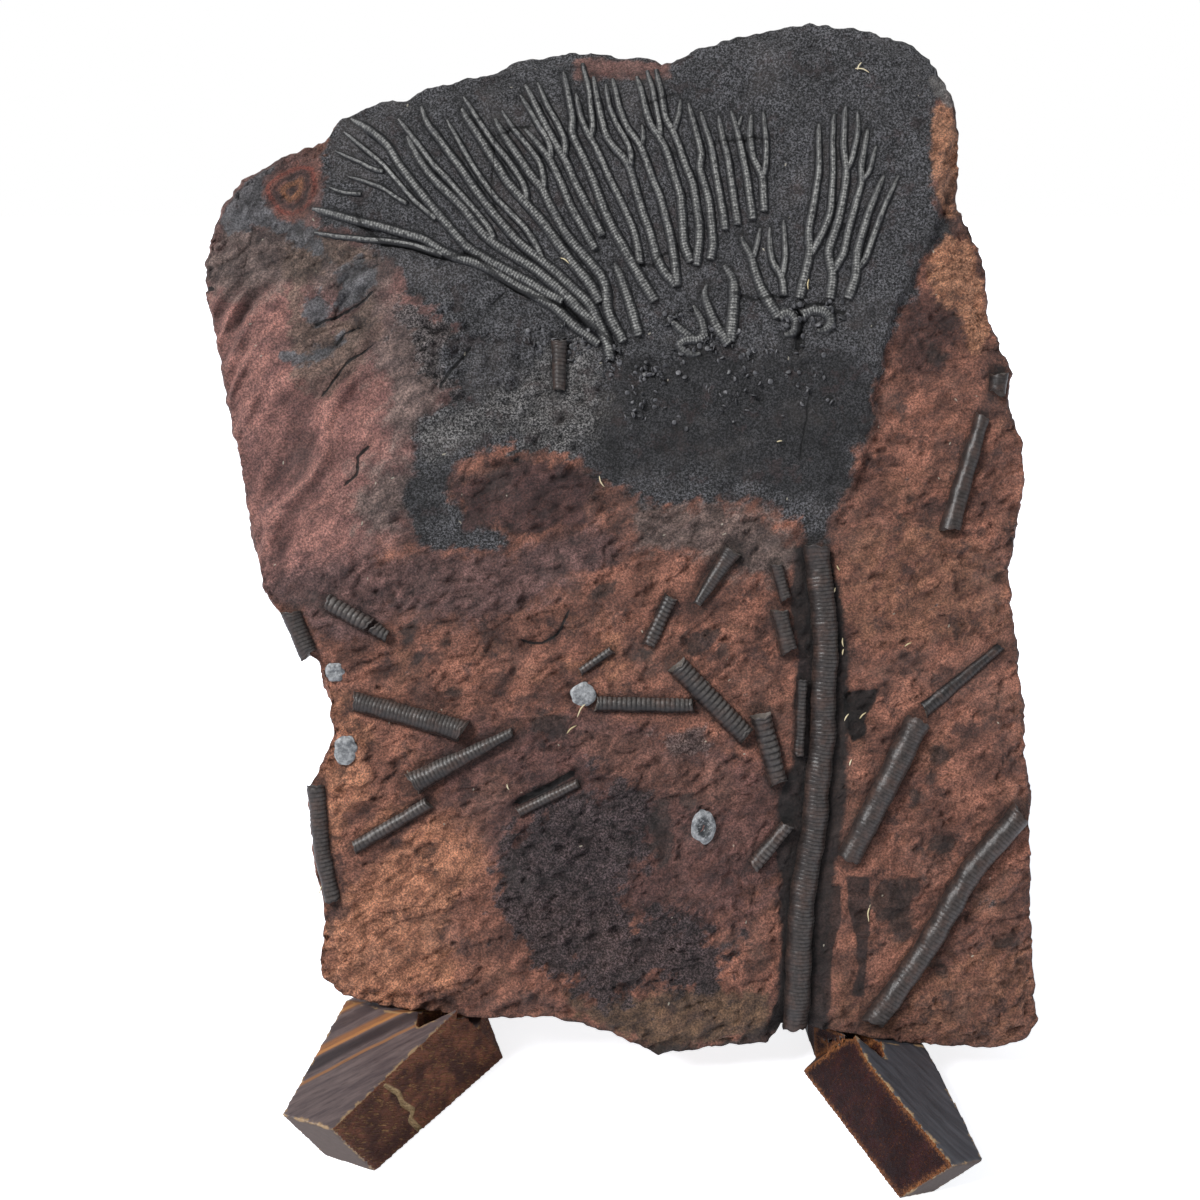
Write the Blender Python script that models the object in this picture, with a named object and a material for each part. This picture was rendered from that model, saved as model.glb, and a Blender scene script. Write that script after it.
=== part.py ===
"""A crinoid fossil: a slab of bedded stone that stands in the notches of two wooden feet.

The slab is made flat, in a frame of its own: u to the right along the bed, v up along the
bed and w out of the bed, towards whoever looks at the fossil. It is then leaned back.
All lengths below are in millimetres, and MM brings them to Blender's metres.
"""

import math

import bmesh
import bpy
from mathutils import Matrix, Vector, noise

MM = 0.001

# Slab: how it stands, and how thick it is.
LEAN_BACK = math.radians(20.0)
BED_BASE_HEIGHT = 14.0
SLAB_DEPTH = 27.0
COLUMNS = 24
ROWS = 30
SLAB_MIDDLE = (5.0, 145.0)

# The bed's outline as four runs of (u, v) points. Each run ends where the next one begins.
LEFT_EDGE = [
    (-81.2, 28.1), (-79.8, 42.6), (-83.2, 55.7), (-85, 76), (-79.8, 84.7), (-77.7, 91.9),
    (-78.3, 102.1), (-81.8, 113.7), (-87, 116.6), (-91.3, 125.3), (-98, 134), (-99.2, 142.7),
    (-102.1, 154.3), (-105.8, 173.1), (-110.2, 194.9), (-114, 216.6), (-116, 225.3), (-114.5, 236.9),
]
TOP_EDGE = [
    (-114.5, 236.9), (-111.1, 246.2), (-104.4, 255.2), (-91.3, 260.1), (-80.6, 265.1), (-76.3, 270.9),
    (-66.1, 275.2), (-56.5, 276.7), (-49.3, 279.6), (-37.7, 283.3), (-23.2, 284.6), (-7.2, 286.5),
    (0, 285), (17.4, 284.6), (29, 291.2), (40.6, 294.9), (60.9, 298.7), (78.3, 297),
    (91.3, 293.5), (98.6, 287.7),
]
RIGHT_EDGE = [
    (124.7, 3.5), (127, 9.3), (125.3, 44.1), (124.7, 73.1), (122.4, 102.1), (120.9, 119.5),
    (118.6, 138.3), (120.6, 148.5), (124.1, 165.9), (123.2, 177.5), (118.9, 189.1), (120.3, 197.2),
    (116.9, 205), (113.1, 214.6), (112.5, 227.4), (108.7, 236.9), (104.4, 245.6), (105, 267.4),
    (102.9, 277.5), (98.6, 287.7),
]
BOTTOM_EDGE = [
    (-81.2, 28.1), (-80.6, 20.9), (-73.9, 15.9), (-58, 12.2), (-46.4, 11.3), (-34.8, 9.3),
    (-27.5, 9), (-17.4, 9.9), (-5.2, 7.8), (5.8, 3.5), (17.4, -1.4), (34.8, 1.2),
    (48.7, 2), (53.1, 7), (61.5, 6.4), (77.1, 4.1), (95.7, 1.7), (113.1, 0.6),
    (124.7, 3.5),
]

# The broken side of the slab, ring by ring: (w, growth, roughness, share of the rear ledge).
# The growth is a share of the distance from SLAB_MIDDLE, and the bottom takes only a loss.
SIDE_RINGS = [
    (-4.5, 0.010, 0.5, 1.0),
    (-14.0, 0.008, 1.4, 0.0),
    (-22.0, -0.010, 1.2, -1.0),
    (-SLAB_DEPTH, -0.035, 0.0, 0.0),
]
BOTTOM_RIM_TOP = 40.0

# The rear ledge: a lower bed that stands out behind the middle of the top edge.
REAR_LEDGE = 4.2
REAR_LEDGE_MIDDLE = (-4.0, 286.0)
REAR_LEDGE_HALF_WIDTH = 30.0

# Relief of the bed.
BLACK_BED_RIGHT_EDGE = [(154, 68.2), (172, 75.4), (189, 78.3), (212, 82.7), (233, 94.3), (276, 104.4)]
BLACK_BED_STEP = 2.2
STEM_CHANNEL_DEPTH = 2.0
STEM_CHANNEL_HALF_WIDTH = 6.5
STEM_LINE = [(7.5, 57.1), (32, 58), (56, 60.9), (78, 63.2), (103, 65), (129, 65), (146, 62.9)]
BROAD_SWELL = 1.1
LEFT_FALL = 4.0
CORNER_FALL = 3.5
EDGE_ROUND_DEPTH = 1.8
EDGE_ROUND_WIDTH = 7.0

# Lengths of stem turned to stone: radius at each end, and their line on the bed.
STEMS = [
    (3.8, 3.8, [(62.9, 146.2), (65, 128.8), (65.8, 116), (65, 103.2), (65, 90.5), (63.2, 77.7),
                (62.6, 65), (60.9, 55.7), (58.9, 44.1), (58, 32.2), (57.7, 20.6), (57.1, 7.5)]),
    (1.7, 1.7, [(58.6, 107.6), (58.3, 96.3), (57.7, 86.1)]),
    (2.9, 2.9, [(-89.9, 127.6), (-84.7, 115.1)]),
    (2.6, 2.6, [(-78.9, 130.2), (-67, 123.8)]),
    (2.3, 2.3, [(-65.8, 123.2), (-61.8, 120.3)]),
    (2.9, 3.2, [(-71.6, 101.8), (-55.1, 97.4), (-39.4, 93.1)]),
    (3.8, 1.4, [(-54.5, 77.7), (-25.2, 92.8)]),
    (2, 2, [(-71.3, 59.2), (-49.6, 72.2)]),
    (2.6, 2.3, [(-82.4, 77), (-81, 58.6), (-77.8, 44.1)]),
    (1.7, 1.7, [(-24.4, 71), (-6.7, 79.5)]),
    (2.3, 2.3, [(-1.4, 100.9), (27.3, 100.3)]),
    (1.2, 1.2, [(-5.8, 110.2), (3.5, 116.6)]),
    (2.3, 2.3, [(20.6, 132.2), (13.9, 117.7)]),
    (2.6, 1.4, [(38.6, 145.9), (28.1, 129.9)]),
    (2, 2, [(51, 141.5), (53.9, 131.1)]),
    (2.6, 2.6, [(51.9, 128.2), (54.8, 116)]),
    (3.2, 3.2, [(22, 112.5), (32.5, 101.5), (42.6, 91.3)]),
    (3.2, 3.2, [(46.4, 98), (51.9, 77.7)]),
    (2.3, 2.3, [(54.5, 65.8), (44.4, 53.9)]),
    (1.4, 2.6, [(116.6, 117.8), (93.7, 98.9)]),
    (3.8, 3.5, [(91.9, 95.7), (72.2, 56.5)]),
    (3.5, 3.5, [(122.2, 69.4), (107.3, 52.5), (94.2, 30.2), (78.8, 8.4)]),
    (2.3, 3.2, [(111.4, 184.4), (101.5, 151.4)]),
    (2.6, 2.6, [(116.4, 197.2), (115.8, 191.4)]),
    (2.6, 2.3, [(-11.9, 206.8), (-11.9, 192)]),
]

# Single ossicles that lie end on: middle on the bed, and half sizes.
OSSICLES = [
    ((-77, 110.2), 2.9, 2.9),
    ((-73.7, 87.6), 3.5, 4.3),
    ((-4.9, 103.5), 3.5, 3.5),
    ((30.2, 65.2), 3.5, 4.9),
]
OSSICLE_HEIGHT = 1.2

# Arms of the crown: radius at the root and at the tip, and their line on the bed, root first.
ARMS = [
    (1.3, 1, [(-0.3, 205.5), (-7.9, 211.1), (-12.9, 216.1), (-18.9, 219.8), (-23.9, 222.4),
        (-28.9, 225.4), (-33.6, 228.1), (-37.9, 229.6), (-41.2, 230.3), (-45.7, 232.4), (-51, 235.9),
        (-57, 237.5), (-63.7, 239.5), (-72, 241.4), (-79.3, 243.7), (-83.7, 244.9)]),
    (0.8, 0.6, [(-45.7, 231.4), (-53.7, 234), (-61, 235.2), (-68.4, 235.7), (-76, 236.5), (-83, 237.9)]),
    (1.4, 1, [(-10.9, 217.8), (-16.9, 221.1), (-20.2, 223.3), (-28.9, 227.9), (-34.2, 230.8),
        (-38.9, 233.8), (-43.2, 238.8), (-48.2, 244.6), (-51, 248), (-54.4, 252.3), (-58, 257),
        (-61.4, 263), (-65, 266.3), (-72.7, 271.7)]),
    (0.7, 0.6, [(-47.7, 241.7), (-53.7, 246.7), (-57.7, 251.3), (-63, 257.7), (-69, 262.7),
        (-74.7, 267.5)]),
    (1.5, 1, [(-0.3, 210.1), (-5.6, 215.1), (-8.9, 218.8), (-12.3, 221.8), (-18.9, 227.4),
        (-24.6, 230.9), (-30.9, 234.8), (-34.6, 238.1), (-38.9, 243.8), (-41.9, 247.1), (-45.4, 250.3),
        (-48.7, 253.7), (-51.7, 257.7), (-54, 261.7), (-56, 265.7)]),
    (0.9, 0.8, [(-30.6, 234.6), (-31.6, 238.4), (-35.6, 243.4), (-38.9, 247.1), (-44.7, 253.7),
        (-48.7, 257.7), (-52, 262.3), (-55.4, 266.7), (-58.7, 271)]),
    (1.5, 0.9, [(3, 200.9), (2.4, 205.6), (0.4, 209.9), (-2.9, 217.1), (-7.9, 221.8), (-13.6, 227.1),
        (-18.9, 231.4), (-23.6, 235.1), (-28.9, 241.1), (-33.9, 247.1), (-36.4, 250.4), (-39.7, 255.4),
        (-44.4, 261.7), (-48, 266.7), (-50, 269), (-52, 274.7)]),
    (0.9, 0.7, [(-16.9, 230.4), (-18.2, 233.8), (-21.6, 239.1), (-26.9, 244.4), (-29.6, 247.1),
        (-31.8, 249.7), (-36.7, 256.7), (-41.1, 264.4), (-44.4, 270.4)]),
    (1.5, 1, [(0.1, 217.6), (-2.9, 222.9), (-5.3, 225.8), (-7.6, 228.4), (-11.3, 233.4),
        (-16.2, 240.4), (-22.2, 247.1), (-26.4, 251.7), (-30.8, 258.7), (-34.7, 265), (-38.7, 271),
        (-40.1, 273.7)]),
    (0.9, 0.7, [(-21.3, 246.7), (-21.3, 249.4), (-22.4, 252.4), (-26.4, 258.4), (-30.8, 263.7),
        (-35.1, 270), (-39.7, 277.4)]),
    (1.5, 1, [(7, 206.3), (3.4, 212.3), (2, 216.3), (2, 220.9), (0.7, 224.9), (-3.3, 229.6),
        (-8.9, 236.1), (-10.9, 239.1), (-15.2, 247.1), (-16.4, 250.1), (-20.1, 254.4), (-23.8, 260),
        (-27.8, 265.7), (-30.4, 270.7)]),
    (0.9, 0.7, [(-16.4, 250.1), (-16.1, 253.1), (-17.4, 258.1), (-21.4, 263.4), (-25.1, 267.7),
        (-28.4, 273)]),
    (1.2, 0.9, [(-1.3, 232.9), (-5.3, 239.9), (-8.6, 245.6), (-11.3, 252.2), (-14.4, 258.7),
        (-17.1, 262.4), (-19.8, 265.7), (-21.8, 267.7)]),
    (0.9, 0.7, [(-14.4, 258.7), (-14, 262), (-15.4, 265), (-18.4, 269.7), (-20.4, 273.4), (-23.1, 277.7)]),
    (1.2, 0.9, [(0.7, 236.9), (-1.9, 242.2), (-3.9, 245.9), (-7.6, 252.9), (-9.1, 256.7), (-10.8, 260),
        (-13.1, 263.7), (-17.1, 271.4), (-20.4, 278.4), (-21.8, 281)]),
    (0.9, 0.7, [(-10.4, 259.4), (-9.8, 263.4), (-12.1, 269), (-15.4, 274.7), (-18.1, 281.7)]),
    (1.5, 0.8, [(16, 217.9), (12.4, 223.6), (9.7, 228.2), (7, 233.2), (4.7, 237.2), (1.4, 243.9),
        (-1.9, 252.9), (-4.6, 258.9), (-6.6, 262.9), (-8.3, 266.8), (-7.8, 270.5), (-8.6, 274.8),
        (-9.9, 281.8), (-10.6, 285.2)]),
    (1.1, 0.8, [(11.7, 228.6), (11, 234.2), (9.7, 238.9), (5.7, 247.9), (3, 252.9), (0.7, 258.2),
        (-1.6, 263.2), (-3.3, 265.8), (-5.6, 271.2), (-6.9, 278.2)]),
    (0.8, 0.7, [(-2.6, 265.2), (-1.9, 268.2), (-2.6, 273.5), (-3.1, 279.2), (-3.9, 282.5), (-5.1, 287.8)]),
    (1.3, 0.8, [(22, 222.3), (18.4, 226.6), (16.7, 229.9), (14.7, 237.6), (13, 241.9), (11.4, 246.9),
        (9.7, 252.9), (8.4, 256.9), (6.4, 259.9), (3.7, 262.5), (1.7, 265.8), (0.1, 272.2),
        (-1.3, 279.2), (-1.9, 283.8)]),
    (0.8, 0.7, [(8.7, 256.5), (9.2, 260.2), (8, 263.5), (4.7, 269.2), (2.7, 274.2), (1.7, 281.2)]),
    (1.2, 0.8, [(22.4, 222.3), (21.7, 229.6), (20.4, 237.2), (17.4, 248.6), (15.4, 252.9), (13, 259.5),
        (11.7, 262.9), (7.7, 268.2), (5.7, 273.5), (4.4, 279.5), (3.7, 283.2)]),
    (0.8, 0.7, [(11.9, 262.5), (12.9, 265.5), (12.2, 268.8)]),
    (1.3, 0.8, [(26.4, 229.2), (24.4, 234.2), (23.9, 242.9), (23.4, 248.6), (22.4, 251.5),
        (19.4, 261.2), (17.4, 265.2), (14.7, 268.8), (13.4, 272.8), (11.7, 280.2), (10.7, 283.8)]),
    (0.8, 0.7, [(17.4, 265.2), (17.5, 268.2), (16.2, 274.5), (15, 280.8), (13.7, 285.5)]),
    (1.2, 0.8, [(28, 228.2), (28.8, 234.2), (29, 239.6), (27, 251.9), (24.7, 257.5), (23, 262.9),
        (21.2, 267.3), (19, 270.5), (17.7, 279.2), (16.4, 285.8)]),
    (0.8, 0.7, [(21.4, 267.2), (23, 271.8), (23.4, 276.2)]),
    (1.2, 0.8, [(32, 229.9), (33, 234.2), (31.7, 246.9), (30, 252.9), (28.8, 256.5), (29.7, 260.2),
        (28, 266.8), (25.7, 275.2)]),
    (1.1, 0.8, [(36.4, 238.6), (35.8, 243.2), (33.5, 255.7), (32.3, 263.4), (30.6, 268.5), (29.3, 272.8)]),
    (1.1, 0.8, [(40.1, 240.1), (38.9, 247.9), (37, 260.3), (35.8, 264.6), (34.5, 271.6)]),
    (1.1, 0.8, [(44.5, 241.7), (42.8, 253.7), (40.5, 264.6), (39.3, 270), (38.1, 273.2)]),
    (0.6, 0.5, [(40.1, 268.1), (41.2, 271.6)]),
    (1.1, 0.8, [(47.8, 244), (47.3, 254.1), (44.4, 259.6), (43.6, 265.8), (44, 272)]),
    (0.8, 0.7, [(47.3, 254.1), (48.2, 257.2), (48.4, 263.4), (47.5, 272.8)]),
    (1, 0.8, [(53.4, 219.3), (52.9, 225), (50.1, 229), (49.4, 233.6), (49.4, 239.3)]),
    (0.9, 0.7, [(52.9, 225), (53.9, 230.3), (53.7, 236.3), (53.4, 241.3)]),
    (1.6, 0.9, [(51.7, 213), (49.1, 217.3), (46.7, 221.3), (44.7, 227.3), (44.1, 231), (42.1, 234),
        (41.2, 236.6)]),
    (0.8, 0.7, [(44.4, 230.3), (45.7, 234), (46.7, 239.3)]),
    (1.7, 1.3, [(37.8, 206), (38.4, 211.3), (39.1, 220), (38.8, 224.6), (36.1, 228.3)]),
    (1.6, 1, [(37.4, 205.3), (34.8, 208.7), (32.8, 212.6), (30.1, 220), (31.1, 222.6)]),
    (1.4, 1, [(30.4, 207.7), (29.8, 212), (27.1, 216.6)]),
    (1.4, 1, [(26.7, 206.9), (23.4, 209.6), (19.7, 213.3)]),
    (1.5, 1.3, [(11.4, 207.9), (9, 216.3), (6, 225.2), (4.4, 228.9)]),
    (1.3, 0.7, [(57.8, 218.4), (59.1, 223.8), (61.1, 232), (60.5, 237.8), (62.2, 246.7), (63.6, 255.7),
        (63.6, 269.3)]),
    (1, 0.7, [(61.2, 231.2), (64.9, 238.2), (66.9, 243.2), (67.7, 255.7), (67.5, 263.4), (68, 272)]),
    (1.3, 0.8, [(66.7, 218.4), (67.7, 225), (66.1, 232), (69.2, 240.9), (71.3, 251.8), (71.5, 256.1),
        (70.6, 262.7), (71.3, 274.3)]),
    (1, 0.8, [(67.7, 226.5), (70.8, 231.6), (71.9, 237.8), (76.2, 253), (75.6, 256.1), (77.8, 267.7)]),
    (0.8, 0.7, [(71.5, 255.7), (73.1, 258.8), (75, 267.3), (74.8, 272.8)]),
    (0.7, 0.6, [(76.2, 253), (78.1, 254.9), (80.1, 262.7)]),
    (1.3, 0.8, [(71.9, 218.4), (74.3, 224.6), (74.6, 232.4), (78.1, 244), (82.4, 254.1)]),
    (0.9, 0.6, [(74.8, 227.3), (77, 229.7), (78.9, 235.5), (82.8, 246), (86.7, 254.1)]),
    (1.5, 1.1, [(51.7, 213), (53.7, 214.6), (56.1, 213.6), (57.2, 211), (56.1, 208.3), (53.4, 208)]),
    (1.6, 1.2, [(58.4, 213.6), (61.4, 215.3), (65.1, 215), (67.4, 212.6), (66.4, 209.7), (63.1, 209.3)]),
    (1.3, 1, [(31, 208.3), (28.3, 206.3), (25, 206.9), (22.4, 204.9), (25.7, 202.3), (29.3, 202.6)]),
    (0.6, 0.5, [(-63, 255.5), (-65.7, 256), (-69.7, 258.3), (-73, 259.7), (-77, 261.7)]),
    (0.6, 0.5, [(-56, 246), (-59.4, 248), (-62.4, 250.3), (-68.4, 252.7), (-73, 254)]),
    (0.5, 0.5, [(-69.4, 248.9), (-72.4, 249), (-75, 249.4), (-78.7, 251)]),
]

# How far above the bed a rod's middle lies, as a share of its radius.
ARM_LIFT = 0.1
STEM_LIFT = 0.15

# Feet. Each is a row of cross-sections from the toe to the heel, and each section has its
# outer and inner corner on the floor, then its inner and outer corner on top. Here x is to
# the right, y goes back from the bed's base line, and z is the height over the floor.
LEFT_FOOT = [
    [(-75.5, -24.7, 0), (-60.8, -30.3, 0), (-69.7, -36.1, 20), (-84.2, -30.8, 20)],
    [(-66, 15, 0), (-29.3, 13.7, 0), (-40.8, 4, 26.2), (-74.5, 9.9, 25.5)],
    [(-65, 31, 0), (-43.5, 30, 0), (-44, 29, 35), (-71, 30, 35)],
    [(-62, 46, 0), (-40, 46, 0), (-40, 46, 44), (-66, 46, 44)],
    [(-50, 112, 0), (-25, 112, 0), (-26, 110, 24), (-52, 110, 24)],
]
RIGHT_FOOT = [
    [(88.5, -37, 0), (78.7, -39.3, 0), (90.2, -44.1, 16), (98.7, -42.1, 16)],
    [(89.3, -5, 0), (64.9, -3, 0), (75.4, -9.5, 18.8), (96, -9, 15.2)],
    [(90, 8, 0), (60.7, 8.1, 0), (73.6, 1.5, 19.4), (95, 1.8, 14.3)],
    [(89, 16, 0), (65.5, 13.5, 0), (64.2, 13, 19), (94.3, 14, 14.5)],
    [(88, 44, 0), (63, 44, 0), (63, 44, 42), (91, 44, 42)],
    [(85, 112, 0), (62, 112, 0), (62, 110, 24), (86, 110, 24)],
]

# The slot that each foot's slab sits in: (u, v) of a point on its floor, and its slope there.
LEFT_SLOT = ((-28, 8), -0.12)
RIGHT_SLOT = ((61.5, 5.5), -0.13)
SLOT_FRONT = 0.5
SLOT_BACK = SLAB_DEPTH + 1.0

# The open corner in front of each slot: its front wall, at its top and at its foot.
LEFT_POCKET = [(-42.5, 2.9, 30.3), (-54, -4.1, 28.9), (-47.7, 1.3, 14.3), (-35.6, 8.8, 14.3)]
RIGHT_POCKET = [(76.2, 0.5, 23.5), (83.4, -8.2, 21), (75.9, -4.3, 9.5), (67, 5.3, 9.5)]
POCKET_DEPTH = 9.0

STONE_COLOUR = (0.12, 0.07, 0.05, 1.0)
WOOD_COLOUR = (0.05, 0.03, 0.02, 1.0)


def new_collection(name):
    collection = bpy.data.collections.new(name)
    bpy.context.scene.collection.children.link(collection)
    return collection


def new_material(name, colour, roughness):
    material = bpy.data.materials.new(name)
    material.use_nodes = True
    shader = material.node_tree.nodes["Principled BSDF"]
    shader.inputs["Base Color"].default_value = colour
    shader.inputs["Roughness"].default_value = roughness
    shader.inputs["Metallic"].default_value = 0.0
    return material


def new_object(name, mesh, collection):
    obj = bpy.data.objects.new(name, mesh)
    collection.objects.link(obj)
    return obj


def hide_helper(obj):
    obj.hide_render = True
    obj.display_type = "WIRE"


def smoothstep(value):
    value = min(max(value, 0.0), 1.0)
    return value * value * (3 - 2 * value)


def read_line(line, at):
    """Reads a line of (place, value) points, straight between them and flat beyond them."""
    if at <= line[0][0]:
        return line[0][1]
    for (place, value), (next_place, next_value) in zip(line, line[1:]):
        if at <= next_place:
            return value + (next_value - value) * (at - place) / (next_place - place)
    return line[-1][1]


def distance_to_edge(u, v):
    """How far a point of the bed is from the nearest of the four edges, along u or along v."""
    return min(
        u - read_line([(height, place) for place, height in LEFT_EDGE], v),
        read_line([(height, place) for place, height in RIGHT_EDGE], v) - u,
        v - read_line(BOTTOM_EDGE, u),
        read_line(TOP_EDGE, u) - v,
    )


def relief(u, v):
    """Height w of the bed: broad swells, a channel along the stem, the black bed's step, and
    edges that fall away."""
    swell = BROAD_SWELL * noise.noise(Vector((u / 38, v / 31, 0.3)))
    swell += 0.45 * BROAD_SWELL * noise.noise(Vector((u / 13, v / 17, 5.1)))
    off_stem = u - read_line(STEM_LINE, v)
    channel = STEM_CHANNEL_DEPTH * math.exp(-((off_stem / STEM_CHANNEL_HALF_WIDTH) ** 2))
    channel *= smoothstep((152 - v) / 12)
    past_black_bed = u - read_line(BLACK_BED_RIGHT_EDGE, v)
    step = BLACK_BED_STEP * smoothstep(past_black_bed / 5) * smoothstep((v - 140) / 25)
    left_fall = LEFT_FALL * smoothstep((-72 - u) / 42) * smoothstep((v - 120) / 60)
    corner_fall = CORNER_FALL * smoothstep((v - 262) / 36) * smoothstep((u - 70) / 34)
    rounding = EDGE_ROUND_DEPTH * (1 - smoothstep(distance_to_edge(u, v) / EDGE_ROUND_WIDTH))
    return swell - channel - step - left_fall - corner_fall - rounding


def spaced_points(line, count):
    """count + 1 points along a line, evenly spaced but for the ones moved onto its corners."""
    runs = [math.dist(start, end) for start, end in zip(line, line[1:])]
    total = sum(runs)
    corners = [sum(runs[:index]) / total for index in range(len(line))]
    shares = [index / count for index in range(count + 1)]
    for corner in corners[1:-1]:
        nearest = min(range(1, count), key=lambda index: abs(index / count - corner))
        shares[nearest] = corner
    along_u = [(corner, point[0]) for corner, point in zip(corners, line)]
    along_v = [(corner, point[1]) for corner, point in zip(corners, line)]
    return [Vector((read_line(along_u, share), read_line(along_v, share))) for share in shares]


def rear_ledge(place):
    """How far the side stands out past the outline, behind the middle of the top edge."""
    away = (place - Vector(REAR_LEDGE_MIDDLE)).length / REAR_LEDGE_HALF_WIDTH
    return REAR_LEDGE * smoothstep(2 - 2 * away)


def slab_block():
    """The slab before anything stands out of it: a grid spanned by the outline's four runs,
    whose border is drawn back, ring by ring, to a flat back."""
    left = spaced_points(LEFT_EDGE, ROWS)
    right = spaced_points(RIGHT_EDGE, ROWS)
    bottom = spaced_points(BOTTOM_EDGE, COLUMNS)
    top = spaced_points(TOP_EDGE, COLUMNS)

    block = bmesh.new()
    bmesh.ops.create_grid(block, x_segments=COLUMNS, y_segments=ROWS, size=1.0)
    for vertex in block.verts:
        across = round((vertex.co.x + 1) / 2 * COLUMNS)
        up = round((vertex.co.y + 1) / 2 * ROWS)
        s, t = across / COLUMNS, up / ROWS
        sides = left[up].lerp(right[up], s) + bottom[across].lerp(top[across], t)
        corners = bottom[0].lerp(bottom[-1], s).lerp(top[0].lerp(top[-1], s), t)
        place = sides - corners
        vertex.co = (place.x, place.y, relief(place.x, place.y))

    middle = Vector(SLAB_MIDDLE)
    for depth, growth, roughness, ledge_share in SIDE_RINGS:
        border = [edge for edge in block.edges if edge.is_boundary]
        made = bmesh.ops.extrude_edge_only(block, edges=border)
        for vertex in [item for item in made["geom"] if isinstance(item, bmesh.types.BMVert)]:
            place = vertex.co.xy
            arm = place - middle
            rough = roughness * noise.noise(Vector((place.x / 9, place.y / 9, depth)))
            out = growth * arm.length + rough + ledge_share * rear_ledge(place)
            if place.y < BOTTOM_RIM_TOP:
                out = min(growth * arm.length, 0) - abs(rough)
            place += arm.normalized() * out
            vertex.co = (place.x, place.y, depth)
    border = [edge for edge in block.edges if edge.is_boundary]
    bmesh.ops.edgeloop_fill(block, edges=border)
    bmesh.ops.recalc_face_normals(block, faces=block.faces)
    bmesh.ops.scale(block, vec=(MM, MM, MM), verts=block.verts)
    mesh = bpy.data.meshes.new("slab")
    block.to_mesh(mesh)
    block.free()
    return mesh


def rods_mesh(name, rods, lift, resolution):
    """One mesh of half-sunk rods, each along its line on the bed: (radius, radius, line)."""
    curve = bpy.data.curves.new(name, "CURVE")
    curve.dimensions = "3D"
    curve.twist_mode = "Z_UP"
    curve.bevel_depth = MM
    curve.bevel_resolution = resolution
    curve.use_fill_caps = True
    for first_radius, last_radius, line in rods:
        spline = curve.splines.new("POLY")
        spline.points.add(len(line) - 1)
        for index, (u, v) in enumerate(line):
            radius = first_radius + (last_radius - first_radius) * index / (len(line) - 1)
            height = relief(u, v) + lift * radius
            spline.points[index].co = (u * MM, v * MM, height * MM, 1)
            spline.points[index].radius = radius
    holder = bpy.data.objects.new(name, curve)
    bpy.context.scene.collection.objects.link(holder)
    graph = bpy.context.evaluated_depsgraph_get()
    mesh = bpy.data.meshes.new_from_object(holder.evaluated_get(graph))
    bpy.data.objects.remove(holder)
    bpy.data.curves.remove(curve)
    return mesh


def growth_mesh():
    """All that stands out of the bed: arms, stems and ossicles, as closed bodies in one mesh."""
    growth = bmesh.new()
    for rods in (rods_mesh("arms", ARMS, ARM_LIFT, 0), rods_mesh("stems", STEMS, STEM_LIFT, 1)):
        growth.from_mesh(rods)
        bpy.data.meshes.remove(rods)
    bmesh.ops.remove_doubles(growth, verts=growth.verts, dist=0.00001)
    for (u, v), half_width, half_height in OSSICLES:
        shape = Matrix.Diagonal((half_width * MM, half_height * MM, 1, 1))
        place = Matrix.Translation((u * MM, v * MM, relief(u, v) * MM))
        bmesh.ops.create_cone(
            growth, cap_ends=True, segments=12, radius1=1.1, radius2=0.95,
            depth=2 * OSSICLE_HEIGHT * MM, matrix=place @ shape,
        )
    bmesh.ops.recalc_face_normals(growth, faces=growth.faces)
    mesh = bpy.data.meshes.new("growth")
    growth.to_mesh(mesh)
    growth.free()
    return mesh


def stand_on_base_line(obj):
    """Leans a piece made in the slab's own frame, and lifts it onto the bed's base line."""
    obj.rotation_euler.x = math.pi / 2 - LEAN_BACK
    obj.location.z = BED_BASE_HEIGHT * MM


def add_boolean(obj, other, operation):
    modifier = obj.modifiers.new(other.name, "BOOLEAN")
    modifier.operation = operation
    modifier.solver = "EXACT"
    modifier.use_self = operation == "UNION"
    modifier.object = other
    hide_helper(other)


def hull_mesh(name, points):
    hull = bmesh.new()
    for point in points:
        hull.verts.new(Vector(point) * MM)
    bmesh.ops.convex_hull(hull, input=hull.verts)
    bmesh.ops.recalc_face_normals(hull, faces=hull.faces)
    mesh = bpy.data.meshes.new(name)
    hull.to_mesh(mesh)
    hull.free()
    return mesh


def foot_mesh(name, sections):
    """A block lofted through its sections, with both ends closed."""
    foot = bmesh.new()
    rings = [[foot.verts.new(Vector(corner) * MM) for corner in section] for section in sections]
    foot.faces.new(rings[0])
    foot.faces.new(rings[-1])
    for ring, next_ring in zip(rings, rings[1:]):
        for corner in range(4):
            after = (corner + 1) % 4
            foot.faces.new((ring[corner], ring[after], next_ring[after], next_ring[corner]))
    bmesh.ops.recalc_face_normals(foot, faces=foot.faces)
    mesh = bpy.data.meshes.new(name)
    foot.to_mesh(mesh)
    foot.free()
    return mesh


def slot_cutter(name, slot, cutters):
    """The room that the leaning slab takes up, as a box in the slab's own frame."""
    (u, v), slope = slot
    room = [
        (u + side, v + side * slope + rise, w)
        for side in (-80, 80)
        for rise in (0, 90)
        for w in (SLOT_FRONT, -SLOT_BACK)
    ]
    cutter = new_object(name, hull_mesh(name, room), cutters)
    stand_on_base_line(cutter)
    return cutter


def pocket_cutter(name, wall, cutters):
    behind = [(x, y + POCKET_DEPTH, z) for x, y, z in wall]
    return new_object(name, hull_mesh(name, wall + behind), cutters)


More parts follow.
